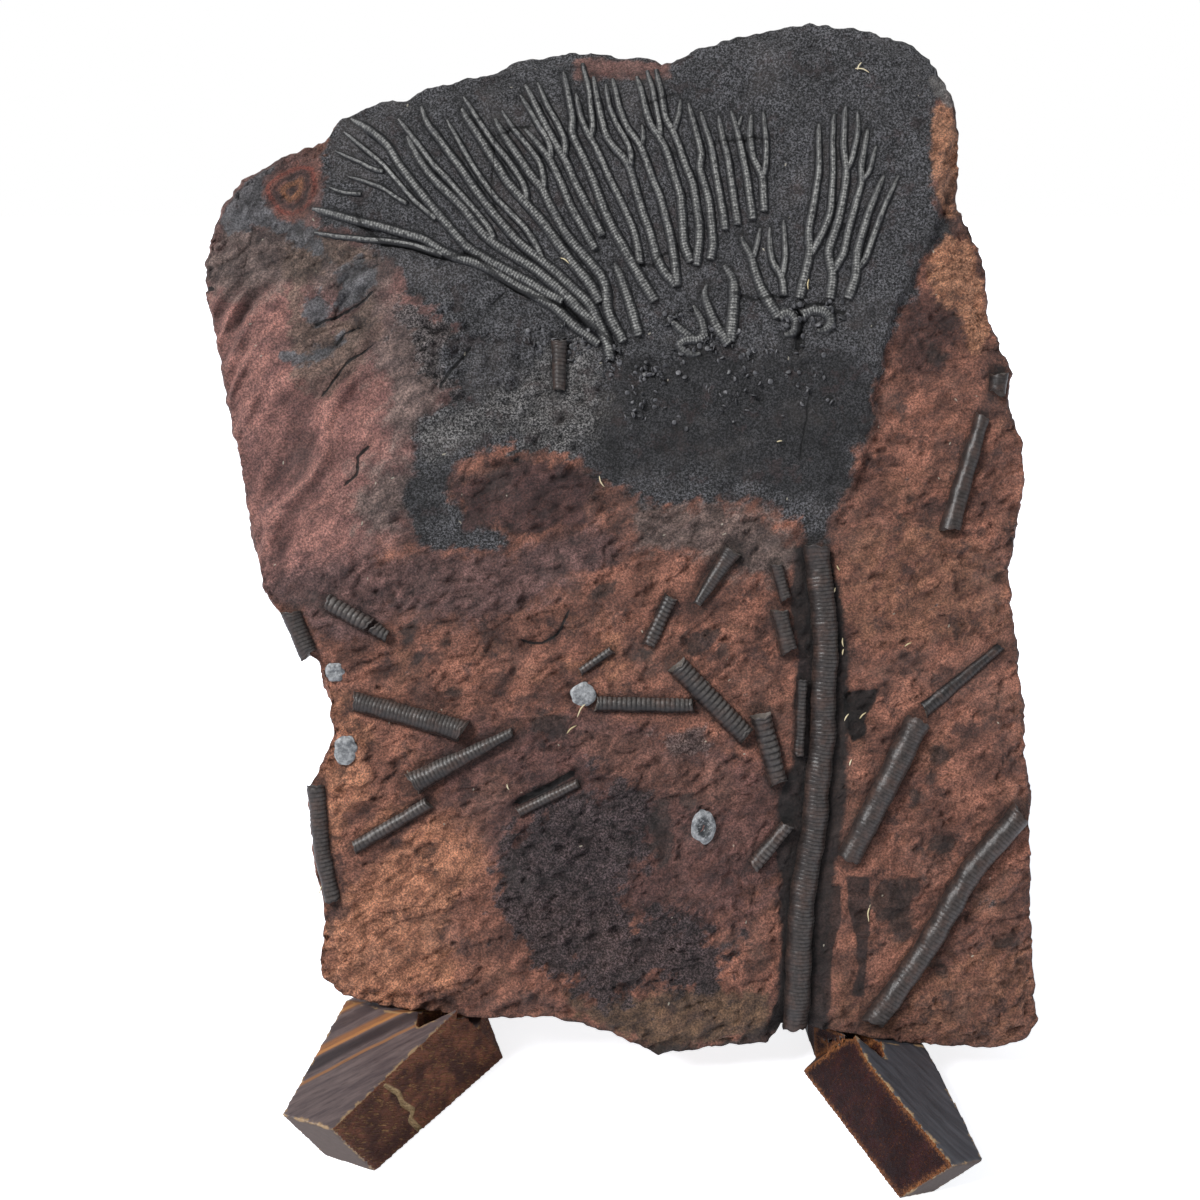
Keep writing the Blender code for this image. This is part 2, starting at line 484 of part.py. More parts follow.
def wooden_foot(name, sections, slot, pocket, parts, cutters, wood):
    foot = new_object(name, foot_mesh(name, sections), parts)
    foot.data.materials.append(wood)
    add_boolean(foot, slot_cutter(name + "_slot", slot, cutters), "DIFFERENCE")
    add_boolean(foot, pocket_cutter(name + "_pocket", pocket, cutters), "DIFFERENCE")
    return foot


def fossil_slab(parts, cutters):
    slab = new_object("slab", slab_block(), parts)
    slab.data.materials.append(new_material("stone", STONE_COLOUR, 0.8))
    growth = new_object("growth", growth_mesh(), cutters)
    for obj in (slab, growth):
        stand_on_base_line(obj)
    add_boolean(slab, growth, "UNION")
    return slab


def world_corners(obj, graph):
    evaluated = obj.evaluated_get(graph)
    return [evaluated.matrix_world @ vertex.co for vertex in evaluated.data.vertices]


def centre_on_floor(pieces, helpers):
    """Moves everything so that the middle of the whole box stands over the origin."""
    bpy.context.view_layer.update()
    graph = bpy.context.evaluated_depsgraph_get()
    corners = [corner for piece in pieces for corner in world_corners(piece, graph)]
    shift = Vector((0, 0, 0))
    for axis in (0, 1):
        values = [corner[axis] for corner in corners]
        shift[axis] = -(min(values) + max(values)) / 2
    for obj in list(pieces) + list(helpers):
        obj.location += shift


def main():
    for obj in list(bpy.data.objects):
        bpy.data.objects.remove(obj)
    parts = new_collection("crinoid_fossil")
    cutters = new_collection("helpers")
    wood = new_material("wood", WOOD_COLOUR, 0.55)
    pieces = [
        fossil_slab(parts, cutters),
        wooden_foot("left_foot", LEFT_FOOT, LEFT_SLOT, LEFT_POCKET, parts, cutters, wood),
        wooden_foot("right_foot", RIGHT_FOOT, RIGHT_SLOT, RIGHT_POCKET, parts, cutters, wood),
    ]
    centre_on_floor(pieces, cutters.objects)


main()
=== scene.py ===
# %% [markdown]
# # A crinoid fossil on two wooden feet
#
# A crinoid, or sea lily, is an animal with a long stem of stacked rings and a crown of branching
# arms. This one lies in a slab of red-brown bedded stone: the crown is spread out in a thin
# black bed at the top, one long stem runs down from it, and short lengths of other stems are
# scattered round it. The slab leans back in the notches of two offcuts of dark wood.
#
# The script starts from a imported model, the frame, which already has the right size. It adds
# fine surfaces and finishes round it. Lengths are in millimetres until the last step.

# %% Load the frame
import itertools
import math

import bmesh
import bpy
import numpy as np
from mathutils import Matrix, Vector


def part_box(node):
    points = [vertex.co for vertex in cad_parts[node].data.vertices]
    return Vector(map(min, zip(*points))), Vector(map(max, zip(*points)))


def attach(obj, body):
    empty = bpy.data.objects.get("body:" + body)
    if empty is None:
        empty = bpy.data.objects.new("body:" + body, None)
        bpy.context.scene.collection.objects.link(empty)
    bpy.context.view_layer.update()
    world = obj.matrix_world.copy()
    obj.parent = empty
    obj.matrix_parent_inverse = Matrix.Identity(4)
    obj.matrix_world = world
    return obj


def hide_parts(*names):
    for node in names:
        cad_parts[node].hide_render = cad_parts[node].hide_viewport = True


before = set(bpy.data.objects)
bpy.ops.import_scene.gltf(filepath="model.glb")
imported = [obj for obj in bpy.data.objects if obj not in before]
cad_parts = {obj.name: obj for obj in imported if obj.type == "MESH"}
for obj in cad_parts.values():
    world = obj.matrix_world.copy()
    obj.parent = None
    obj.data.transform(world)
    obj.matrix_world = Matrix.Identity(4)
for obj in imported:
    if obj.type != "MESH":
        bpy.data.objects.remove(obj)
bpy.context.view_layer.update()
print("nodes:", sorted(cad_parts))

# %% [markdown]
# ## The bed's own coordinates
#
# The slab is easiest to describe lying flat: u runs to the right along the bed, v runs up
# along it and w stands out of it. One function then leans everything back. The feet tell
# where the frame's origin is, because two of their corners are known in both places.

# %% Bed coordinates
MM = 0.001
LEAN_BACK = math.radians(20.0)
BED_BASE_HEIGHT = 14.0
RIGHT_FOOT_OUTERMOST = 98.7
RIGHT_FOOT_FOREMOST = -44.1
foot_low, foot_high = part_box("right_foot")
SHIFT_X = foot_high[0] / MM - RIGHT_FOOT_OUTERMOST
SHIFT_Y = foot_low[1] / MM - RIGHT_FOOT_FOREMOST


def place(u, v, w):
    """Leans points of the bed back and brings them to metres.

    x is u, y is v * sin(lean) - w * cos(lean), z is v * cos(lean) + w * sin(lean), each
    moved to where the frame has the slab.
    """
    x = u + SHIFT_X
    y = v * math.sin(LEAN_BACK) - w * math.cos(LEAN_BACK) + SHIFT_Y
    z = v * math.cos(LEAN_BACK) + w * math.sin(LEAN_BACK) + BED_BASE_HEIGHT
    return np.stack(np.broadcast_arrays(x, y, z), axis=-1) * MM


print("the frame's origin lies", round(-SHIFT_X, 1), "mm right of the bed's own")

# %% [markdown]
# ## Noise, and soft steps
#
# Broken stone has no straight lines, so nearly every shape here is bent by noise. Gradient
# noise gives each corner of a grid of cells a random slope and blends the eight slopes round
# a point, which is smooth and has one typical size of bump. Layers of it, each half as large
# and half as high, give the look of stone. The slopes come from a seeded generator, so
# the stone is the same each time.

# %% Noise and soft steps
random_numbers = np.random.default_rng(11)
NOISE_ORDER = random_numbers.permutation(256)
NOISE_SLOPES = random_numbers.normal(size=(256, 3))
NOISE_SLOPES /= np.linalg.norm(NOISE_SLOPES, axis=1, keepdims=True)


def smooth_step(low, high, value):
    """0 below low, 1 above high, and t * t * (3 - 2 * t) between them."""
    t = np.clip((value - low) / (high - low), 0, 1)
    return t * t * (3 - 2 * t)


def noise(x, y, z=0.0):
    """Gradient noise, from about -0.7 to 0.7, with bumps about one unit wide.

    For each of a cell's eight corners it takes the corner's slope times the way from it, and
    adds these up with the weights t * t * t * (t * (6 * t - 15) + 10) along each axis.
    """
    spot = np.stack(np.broadcast_arrays(x, y, z), axis=-1).astype(float)
    cell = np.floor(spot).astype(int)
    part = spot - cell
    fade = part ** 3 * (part * (part * 6 - 15) + 10)
    total = np.zeros(spot.shape[:-1])
    for corner in itertools.product((0, 1), repeat=3):
        i, j, k = np.moveaxis((cell + corner) & 255, -1, 0)
        slope = NOISE_SLOPES[NOISE_ORDER[(NOISE_ORDER[(NOISE_ORDER[i] + j) & 255] + k) & 255]]
        weight = np.where(np.array(corner) == 1, fade, 1 - fade).prod(axis=-1)
        total += weight * ((part - corner) * slope).sum(axis=-1)
    return total


def layered_noise(x, y, z=0.0, layers=4):
    """Noise plus half of it twice as fine, plus a quarter four times as fine, and so on."""
    return sum(noise(x * 2 ** n, y * 2 ** n, z + 7.3 * n) / 2 ** n for n in range(layers))


def terraces(value, step, sharpness=0.35):
    """Turns slopes into steps: the whole number of steps, plus a soft rise at each step's end."""
    steps = value / step
    whole = np.floor(steps)
    return (whole + smooth_step(0.5 - sharpness / 2, 0.5 + sharpness / 2, steps - whole)) * step


# %% [markdown]
# ## Lines and patches drawn on the bed
#
# Much of the fossil is drawn as lists of points on the bed: its outline, its stems
# and arms, cracks and painted shadow lines, and patches of colour. Two functions read them. One gives the
# distance to a line, the other the distance to the border of a patch, positive inside. A distance is
# more useful than yes or no, because a material can add noise to it and so fray the border.

# %% Distances on the bed
def line_distance(points, u, v):
    """How far each place is from an open line, and how far along the line, from 0 to 1."""
    points = np.array(points, float)
    lengths = np.linalg.norm(np.diff(points, axis=0), axis=1)
    starts = np.concatenate([[0], np.cumsum(lengths)])
    nearest = np.full(np.shape(u), np.inf)
    along = np.zeros(np.shape(u))
    for start, end, length, done in zip(points, points[1:], lengths, starts):
        run = (end - start) / length
        share = np.clip((u - start[0]) * run[0] + (v - start[1]) * run[1], 0, length)
        distance = np.hypot(u - start[0] - share * run[0], v - start[1] - share * run[1])
        closer = distance < nearest
        nearest = np.where(closer, distance, nearest)
        along = np.where(closer, (done + share) / starts[-1], along)
    return nearest, along


def patch_distance(points, u, v):
    """How far each place is inside a closed patch; outside, the distance is negative."""
    closed = list(points) + [points[0]]
    distance, _ = line_distance(closed, u, v)
    inside = np.zeros(np.shape(u), bool)
    for (u0, v0), (u1, v1) in zip(closed, closed[1:]):
        if v0 != v1:
            crossing = u0 + (v - v0) * (u1 - u0) / (v1 - v0)
            inside ^= ((v0 > v) != (v1 > v)) & (u < crossing)
    return np.where(inside, distance, -distance)


# %% [markdown]
# ## The outline and the lengths of stem
#
# The bed's outline is four runs of points, which start and end at the four corners. A stem
# is a line with a radius at each end. Its other numbers say how its rings look: their
# pitch, how far they stand out, and how dark the piece is.

# %% Outline and stems
LEFT_EDGE = [
    (-81.2, 28.1), (-79.8, 42.6), (-83.2, 55.7), (-85, 76), (-79.8, 84.7), (-77.7, 91.9),
    (-78.3, 102.1), (-81.8, 113.7), (-87, 116.6), (-91.3, 125.3), (-98, 134), (-99.2, 142.7),
    (-102.1, 154.3), (-105.8, 173.1), (-110.2, 194.9), (-114, 216.6), (-116, 225.3), (-114.5, 236.9),
]
TOP_EDGE = [
    (-114.5, 236.9), (-111.1, 246.2), (-104.4, 255.2), (-91.3, 260.1), (-80.6, 265.1), (-76.3, 270.9),
    (-66.1, 275.2), (-56.5, 276.7), (-49.3, 279.6), (-37.7, 283.3), (-23.2, 284.6), (-7.2, 286.5),
    (0, 285), (17.4, 284.6), (29, 291.2), (40.6, 294.9), (60.9, 298.7), (78.3, 297),
    (91.3, 293.5), (98.6, 287.7),
]
RIGHT_EDGE = [
    (124.7, 3.5), (127, 9.3), (125.3, 44.1), (124.7, 73.1), (122.4, 102.1), (120.9, 119.5),
    (118.6, 138.3), (120.6, 148.5), (124.1, 165.9), (123.2, 177.5), (118.9, 189.1), (120.3, 197.2),
    (116.9, 205), (113.1, 214.6), (112.5, 227.4), (108.7, 236.9), (104.4, 245.6), (105, 267.4),
    (102.9, 277.5), (98.6, 287.7),
]
BOTTOM_EDGE = [
    (-81.2, 28.1), (-80.6, 20.9), (-73.9, 15.9), (-58, 12.2), (-46.4, 11.3), (-34.8, 9.3),
    (-27.5, 9), (-17.4, 9.9), (-5.2, 7.8), (5.8, 3.5), (17.4, -1.4), (34.8, 1.2),
    (48.7, 2), (53.1, 7), (61.5, 6.4), (77.1, 4.1), (95.7, 1.7), (113.1, 0.6),
    (124.7, 3.5),
]

# Each stem: (radius at the start, radius at the end, ring pitch, ring height, how far its
# middle is above the bed as a share of the radius, paleness, line).
MAIN_STEM = (3.7, 3.7, 1.1, 0.06, 0.1, 0.42, [
    (62.9, 146.2), (65, 128.8), (65.8, 116), (65, 103.2), (65, 90.5), (63.2, 77.7),
    (62.6, 65), (60.9, 55.7), (58.9, 44.1), (58, 32.2), (57.7, 20.6), (57.1, 6.5)])
LOOSE_STEMS = [
    (1.5, 1.5, 1.1, 0.12, 0.2, 0.2, [(58.6, 107.6), (58.3, 96.3), (57.7, 86.1)]),
    (2.8, 2.8, 1.1, 0.07, 0.1, 0.5, [(-89.9, 127.6), (-84.7, 115.1)]),
    (2.3, 2.2, 1.5, 0.22, 0.1, 0.8, [(-78.9, 130.2), (-67, 123.8)]),
    (2.0, 1.7, 1.5, 0.22, 0.0, 0.3, [(-65.8, 123.2), (-61.8, 120.3)]),
    (2.7, 3.2, 1.1, 0.08, 0.05, 0.4, [(-71.6, 101.8), (-55.1, 97.4), (-39.4, 93.1)]),
    (3.4, 1.3, 1.2, 0.10, 0.05, 0.35, [(-54.5, 77.7), (-25.2, 92.8)]),
    (1.8, 1.8, 1.4, 0.13, 0.1, 0.75, [(-71.3, 59.2), (-49.6, 72.2)]),
    (2.6, 2.3, 1.2, 0.09, 0.0, 0.6, [(-82.4, 77), (-81, 58.6), (-77.8, 44.1)]),
    (1.4, 1.3, 1.2, 0.10, -0.1, 0.6, [(-23.9, 69.4), (-6.2, 78)]),
    (2.1, 2.1, 1.4, 0.15, -0.1, 0.12, [(-1.4, 100.9), (27.3, 100.3)]),
    (1.1, 1.1, 1.4, 0.18, 0.0, 0.1, [(-5.8, 110.2), (3.5, 116.6)]),
    (2.0, 1.9, 1.4, 0.16, -0.1, 0.25, [(20.6, 132.2), (13.9, 117.7)]),
    (2.8, 1.2, 1.0, 0.06, 0.1, 0.35, [(38.6, 145.9), (28.1, 129.9)]),
    (1.7, 1.7, 1.1, 0.09, 0.1, 0.5, [(51, 141.5), (53.9, 131.1)]),
    (2.4, 2.4, 1.2, 0.07, 0.1, 0.5, [(51.9, 128.2), (54.8, 116)]),
    (3.0, 3.0, 1.6, 0.16, 0.1, 0.22, [(22, 112.5), (32.5, 101.5), (42.6, 91.3)]),
    (3.0, 2.6, 1.8, 0.16, 0.1, 0.4, [(46.4, 98), (51.9, 77.7)]),
    (1.9, 2.1, 1.4, 0.15, 0.1, 0.65, [(54.5, 65.8), (44.4, 53.9)]),
    (1.3, 2.5, 1.2, 0.02, -0.55, 0.05, [(116.6, 117.8), (93.7, 98.9)]),
    (3.6, 3.3, 1.0, 0.02, 0.15, 0.5, [(91.9, 95.7), (72.2, 56.5)]),
    (3.3, 3.2, 1.2, 0.035, 0.15, 0.5, [(122.2, 69.4), (107.3, 52.5), (94.2, 30.2), (78.8, 8.4)]),
    (2.0, 2.9, 1.2, 0.02, 0.1, 0.45, [(111.4, 184.4), (101.5, 151.4)]),
    (2.6, 2.6, 1.2, 0.02, 0.1, 0.25, [(116.4, 197.2), (115.8, 191.4)]),
    (2.3, 1.7, 1.2, 0.07, -0.2, 0.55, [(-11.9, 206.8), (-11.9, 192)]),
]

# Single ossicles that lie end on: middle on the bed, and half sizes.
OSSICLES = [
    ((-77, 110.2), 2.9, 2.9),
    ((-73.7, 87.6), 3.5, 4.3),
    ((-4.9, 103.5), 3.5, 3.5),
    ((30.2, 65.2), 3.5, 4.9),
]
print(1 + len(LOOSE_STEMS), "lengths of stem and", len(OSSICLES), "single ossicles")

# %% [markdown]
# ## The arms of the crown
#
# The arms fork again and again from their roots, which lie near the middle of the bed, to
# their tips near its top edge. Each branch is one line here, root first, with its
# radius at the root and at the tip.

# %% Arms
ARMS = [
    (1.3, 1, [(-0.3, 205.5), (-7.9, 211.1), (-12.9, 216.1), (-18.9, 219.8), (-23.9, 222.4),
        (-28.9, 225.4), (-33.6, 228.1), (-37.9, 229.6), (-41.2, 230.3), (-45.7, 232.4), (-51, 235.9),
        (-57, 237.5), (-63.7, 239.5), (-72, 241.4), (-79.3, 243.7), (-83.7, 244.9)]),
    (0.8, 0.6, [(-45.7, 231.4), (-53.7, 234), (-61, 235.2), (-68.4, 235.7), (-76, 236.5), (-83, 237.9)]),
    (1.4, 1, [(-10.9, 217.8), (-16.9, 221.1), (-20.2, 223.3), (-28.9, 227.9), (-34.2, 230.8),
        (-38.9, 233.8), (-43.2, 238.8), (-48.2, 244.6), (-51, 248), (-54.4, 252.3), (-58, 257),
        (-61.4, 263), (-65, 266.3), (-72.7, 271.7)]),
    (0.7, 0.6, [(-47.7, 241.7), (-53.7, 246.7), (-57.7, 251.3), (-63, 257.7), (-69, 262.7),
        (-74.7, 267.5)]),
    (1.5, 1, [(-0.3, 210.1), (-5.6, 215.1), (-8.9, 218.8), (-12.3, 221.8), (-18.9, 227.4),
        (-24.6, 230.9), (-30.9, 234.8), (-34.6, 238.1), (-38.9, 243.8), (-41.9, 247.1), (-45.4, 250.3),
        (-48.7, 253.7), (-51.7, 257.7), (-54, 261.7), (-56, 265.7)]),
    (0.9, 0.8, [(-30.6, 234.6), (-31.6, 238.4), (-35.6, 243.4), (-38.9, 247.1), (-44.7, 253.7),
        (-48.7, 257.7), (-52, 262.3), (-55.4, 266.7), (-58.7, 271)]),
    (1.5, 0.9, [(3, 200.9), (2.4, 205.6), (0.4, 209.9), (-2.9, 217.1), (-7.9, 221.8), (-13.6, 227.1),
        (-18.9, 231.4), (-23.6, 235.1), (-28.9, 241.1), (-33.9, 247.1), (-36.4, 250.4), (-39.7, 255.4),
        (-44.4, 261.7), (-48, 266.7), (-50, 269), (-52, 274.7)]),
    (0.9, 0.7, [(-16.9, 230.4), (-18.2, 233.8), (-21.6, 239.1), (-26.9, 244.4), (-29.6, 247.1),
        (-31.8, 249.7), (-36.7, 256.7), (-41.1, 264.4), (-44.4, 270.4)]),
    (1.5, 1, [(0.1, 217.6), (-2.9, 222.9), (-5.3, 225.8), (-7.6, 228.4), (-11.3, 233.4),
        (-16.2, 240.4), (-22.2, 247.1), (-26.4, 251.7), (-30.8, 258.7), (-34.7, 265), (-38.7, 271),
        (-40.1, 273.7)]),
    (0.9, 0.7, [(-21.3, 246.7), (-21.3, 249.4), (-22.4, 252.4), (-26.4, 258.4), (-30.8, 263.7),
        (-35.1, 270), (-39.7, 277.4)]),
    (1.5, 1, [(7, 206.3), (3.4, 212.3), (2, 216.3), (2, 220.9), (0.7, 224.9), (-3.3, 229.6),
        (-8.9, 236.1), (-10.9, 239.1), (-15.2, 247.1), (-16.4, 250.1), (-20.1, 254.4), (-23.8, 260),
        (-27.8, 265.7), (-30.4, 270.7)]),
    (0.9, 0.7, [(-16.4, 250.1), (-16.1, 253.1), (-17.4, 258.1), (-21.4, 263.4), (-25.1, 267.7),
        (-28.4, 273)]),
    (1.2, 0.9, [(-1.3, 232.9), (-5.3, 239.9), (-8.6, 245.6), (-11.3, 252.2), (-14.4, 258.7),
        (-17.1, 262.4), (-19.8, 265.7), (-21.8, 267.7)]),
    (0.9, 0.7, [(-14.4, 258.7), (-14, 262), (-15.4, 265), (-18.4, 269.7), (-20.4, 273.4), (-23.1, 277.7)]),
    (1.2, 0.9, [(0.7, 236.9), (-1.9, 242.2), (-3.9, 245.9), (-7.6, 252.9), (-9.1, 256.7), (-10.8, 260),
        (-13.1, 263.7), (-17.1, 271.4), (-20.4, 278.4), (-21.8, 281)]),
    (0.9, 0.7, [(-10.4, 259.4), (-9.8, 263.4), (-12.1, 269), (-15.4, 274.7), (-18.1, 281.7)]),
    (1.5, 0.8, [(16, 217.9), (12.4, 223.6), (9.7, 228.2), (7, 233.2), (4.7, 237.2), (1.4, 243.9),
        (-1.9, 252.9), (-4.6, 258.9), (-6.6, 262.9), (-8.3, 266.8), (-7.8, 270.5), (-8.6, 274.8),
        (-9.9, 281.8), (-10.6, 285.2)]),
    (1.1, 0.8, [(11.7, 228.6), (11, 234.2), (9.7, 238.9), (5.7, 247.9), (3, 252.9), (0.7, 258.2),
        (-1.6, 263.2), (-3.3, 265.8), (-5.6, 271.2), (-6.9, 278.2)]),
    (0.8, 0.7, [(-2.6, 265.2), (-1.9, 268.2), (-2.6, 273.5), (-3.1, 279.2), (-3.9, 282.5), (-5.1, 287.8)]),
    (1.3, 0.8, [(22, 222.3), (18.4, 226.6), (16.7, 229.9), (14.7, 237.6), (13, 241.9), (11.4, 246.9),
        (9.7, 252.9), (8.4, 256.9), (6.4, 259.9), (3.7, 262.5), (1.7, 265.8), (0.1, 272.2),
        (-1.3, 279.2), (-1.9, 283.8)]),
    (0.8, 0.7, [(8.7, 256.5), (9.2, 260.2), (8, 263.5), (4.7, 269.2), (2.7, 274.2), (1.7, 281.2)]),
    (1.2, 0.8, [(22.4, 222.3), (21.7, 229.6), (20.4, 237.2), (17.4, 248.6), (15.4, 252.9), (13, 259.5),
        (11.7, 262.9), (7.7, 268.2), (5.7, 273.5), (4.4, 279.5), (3.7, 283.2)]),
    (0.8, 0.7, [(11.9, 262.5), (12.9, 265.5), (12.2, 268.8)]),
    (1.3, 0.8, [(26.4, 229.2), (24.4, 234.2), (23.9, 242.9), (23.4, 248.6), (22.4, 251.5),
        (19.4, 261.2), (17.4, 265.2), (14.7, 268.8), (13.4, 272.8), (11.7, 280.2), (10.7, 283.8)]),
    (0.8, 0.7, [(17.4, 265.2), (17.5, 268.2), (16.2, 274.5), (15, 280.8), (13.7, 285.5)]),
    (1.2, 0.8, [(28, 228.2), (28.8, 234.2), (29, 239.6), (27, 251.9), (24.7, 257.5), (23, 262.9),
        (21.2, 267.3), (19, 270.5), (17.7, 279.2), (16.4, 285.8)]),
    (0.8, 0.7, [(21.4, 267.2), (23, 271.8), (23.4, 276.2)]),
    (1.2, 0.8, [(32, 229.9), (33, 234.2), (31.7, 246.9), (30, 252.9), (28.8, 256.5), (29.7, 260.2),
        (28, 266.8), (25.7, 275.2)]),
    (1.1, 0.8, [(36.4, 238.6), (35.8, 243.2), (33.5, 255.7), (32.3, 263.4), (30.6, 268.5), (29.3, 272.8)]),
    (1.1, 0.8, [(40.1, 240.1), (38.9, 247.9), (37, 260.3), (35.8, 264.6), (34.5, 271.6)]),
    (1.1, 0.8, [(44.5, 241.7), (42.8, 253.7), (40.5, 264.6), (39.3, 270), (38.1, 273.2)]),
    (0.6, 0.5, [(40.1, 268.1), (41.2, 271.6)]),
    (1.1, 0.8, [(47.8, 244), (47.3, 254.1), (44.4, 259.6), (43.6, 265.8), (44, 272)]),
    (0.8, 0.7, [(47.3, 254.1), (48.2, 257.2), (48.4, 263.4), (47.5, 272.8)]),
    (1, 0.8, [(53.4, 219.3), (52.9, 225), (50.1, 229), (49.4, 233.6), (49.4, 239.3)]),
    (0.9, 0.7, [(52.9, 225), (53.9, 230.3), (53.7, 236.3), (53.4, 241.3)]),
    (1.6, 0.9, [(51.7, 213), (49.1, 217.3), (46.7, 221.3), (44.7, 227.3), (44.1, 231), (42.1, 234),
        (41.2, 236.6)]),
    (0.8, 0.7, [(44.4, 230.3), (45.7, 234), (46.7, 239.3)]),
    (1.7, 1.3, [(37.8, 206), (38.4, 211.3), (39.1, 220), (38.8, 224.6), (36.1, 228.3)]),
    (1.6, 1, [(37.4, 205.3), (34.8, 208.7), (32.8, 212.6), (30.1, 220), (31.1, 222.6)]),
    (1.4, 1, [(30.4, 207.7), (29.8, 212), (27.1, 216.6)]),
    (1.4, 1, [(26.7, 206.9), (23.4, 209.6), (19.7, 213.3)]),
    (1.5, 1.3, [(11.4, 207.9), (9, 216.3), (6, 225.2), (4.4, 228.9)]),
    (1.3, 0.7, [(57.8, 218.4), (59.1, 223.8), (61.1, 232), (60.5, 237.8), (62.2, 246.7), (63.6, 255.7),
        (63.6, 269.3)]),
    (1, 0.7, [(61.2, 231.2), (64.9, 238.2), (66.9, 243.2), (67.7, 255.7), (67.5, 263.4), (68, 272)]),
    (1.3, 0.8, [(66.7, 218.4), (67.7, 225), (66.1, 232), (69.2, 240.9), (71.3, 251.8), (71.5, 256.1),
        (70.6, 262.7), (71.3, 274.3)]),
    (1, 0.8, [(67.7, 226.5), (70.8, 231.6), (71.9, 237.8), (76.2, 253), (75.6, 256.1), (77.8, 267.7)]),
    (0.8, 0.7, [(71.5, 255.7), (73.1, 258.8), (75, 267.3), (74.8, 272.8)]),
    (0.7, 0.6, [(76.2, 253), (78.1, 254.9), (80.1, 262.7)]),
    (1.3, 0.8, [(71.9, 218.4), (74.3, 224.6), (74.6, 232.4), (78.1, 244), (82.4, 254.1)]),
    (0.9, 0.6, [(74.8, 227.3), (77, 229.7), (78.9, 235.5), (82.8, 246), (86.7, 254.1)]),
    (1.5, 1.1, [(51.7, 213), (53.7, 214.6), (56.1, 213.6), (57.2, 211), (56.1, 208.3), (53.4, 208)]),
    (1.6, 1.2, [(58.4, 213.6), (61.4, 215.3), (65.1, 215), (67.4, 212.6), (66.4, 209.7), (63.1, 209.3)]),
    (1.3, 1, [(31, 208.3), (28.3, 206.3), (25, 206.9), (22.4, 204.9), (25.7, 202.3), (29.3, 202.6)]),
    (0.6, 0.5, [(-63, 255.5), (-65.7, 256), (-69.7, 258.3), (-73, 259.7), (-77, 261.7)]),
    (0.6, 0.5, [(-56, 246), (-59.4, 248), (-62.4, 250.3), (-68.4, 252.7), (-73, 254)]),
    (0.5, 0.5, [(-69.4, 248.9), (-72.4, 249), (-75, 249.4), (-78.7, 251)]),
]
print(len(ARMS), "branches of arm")
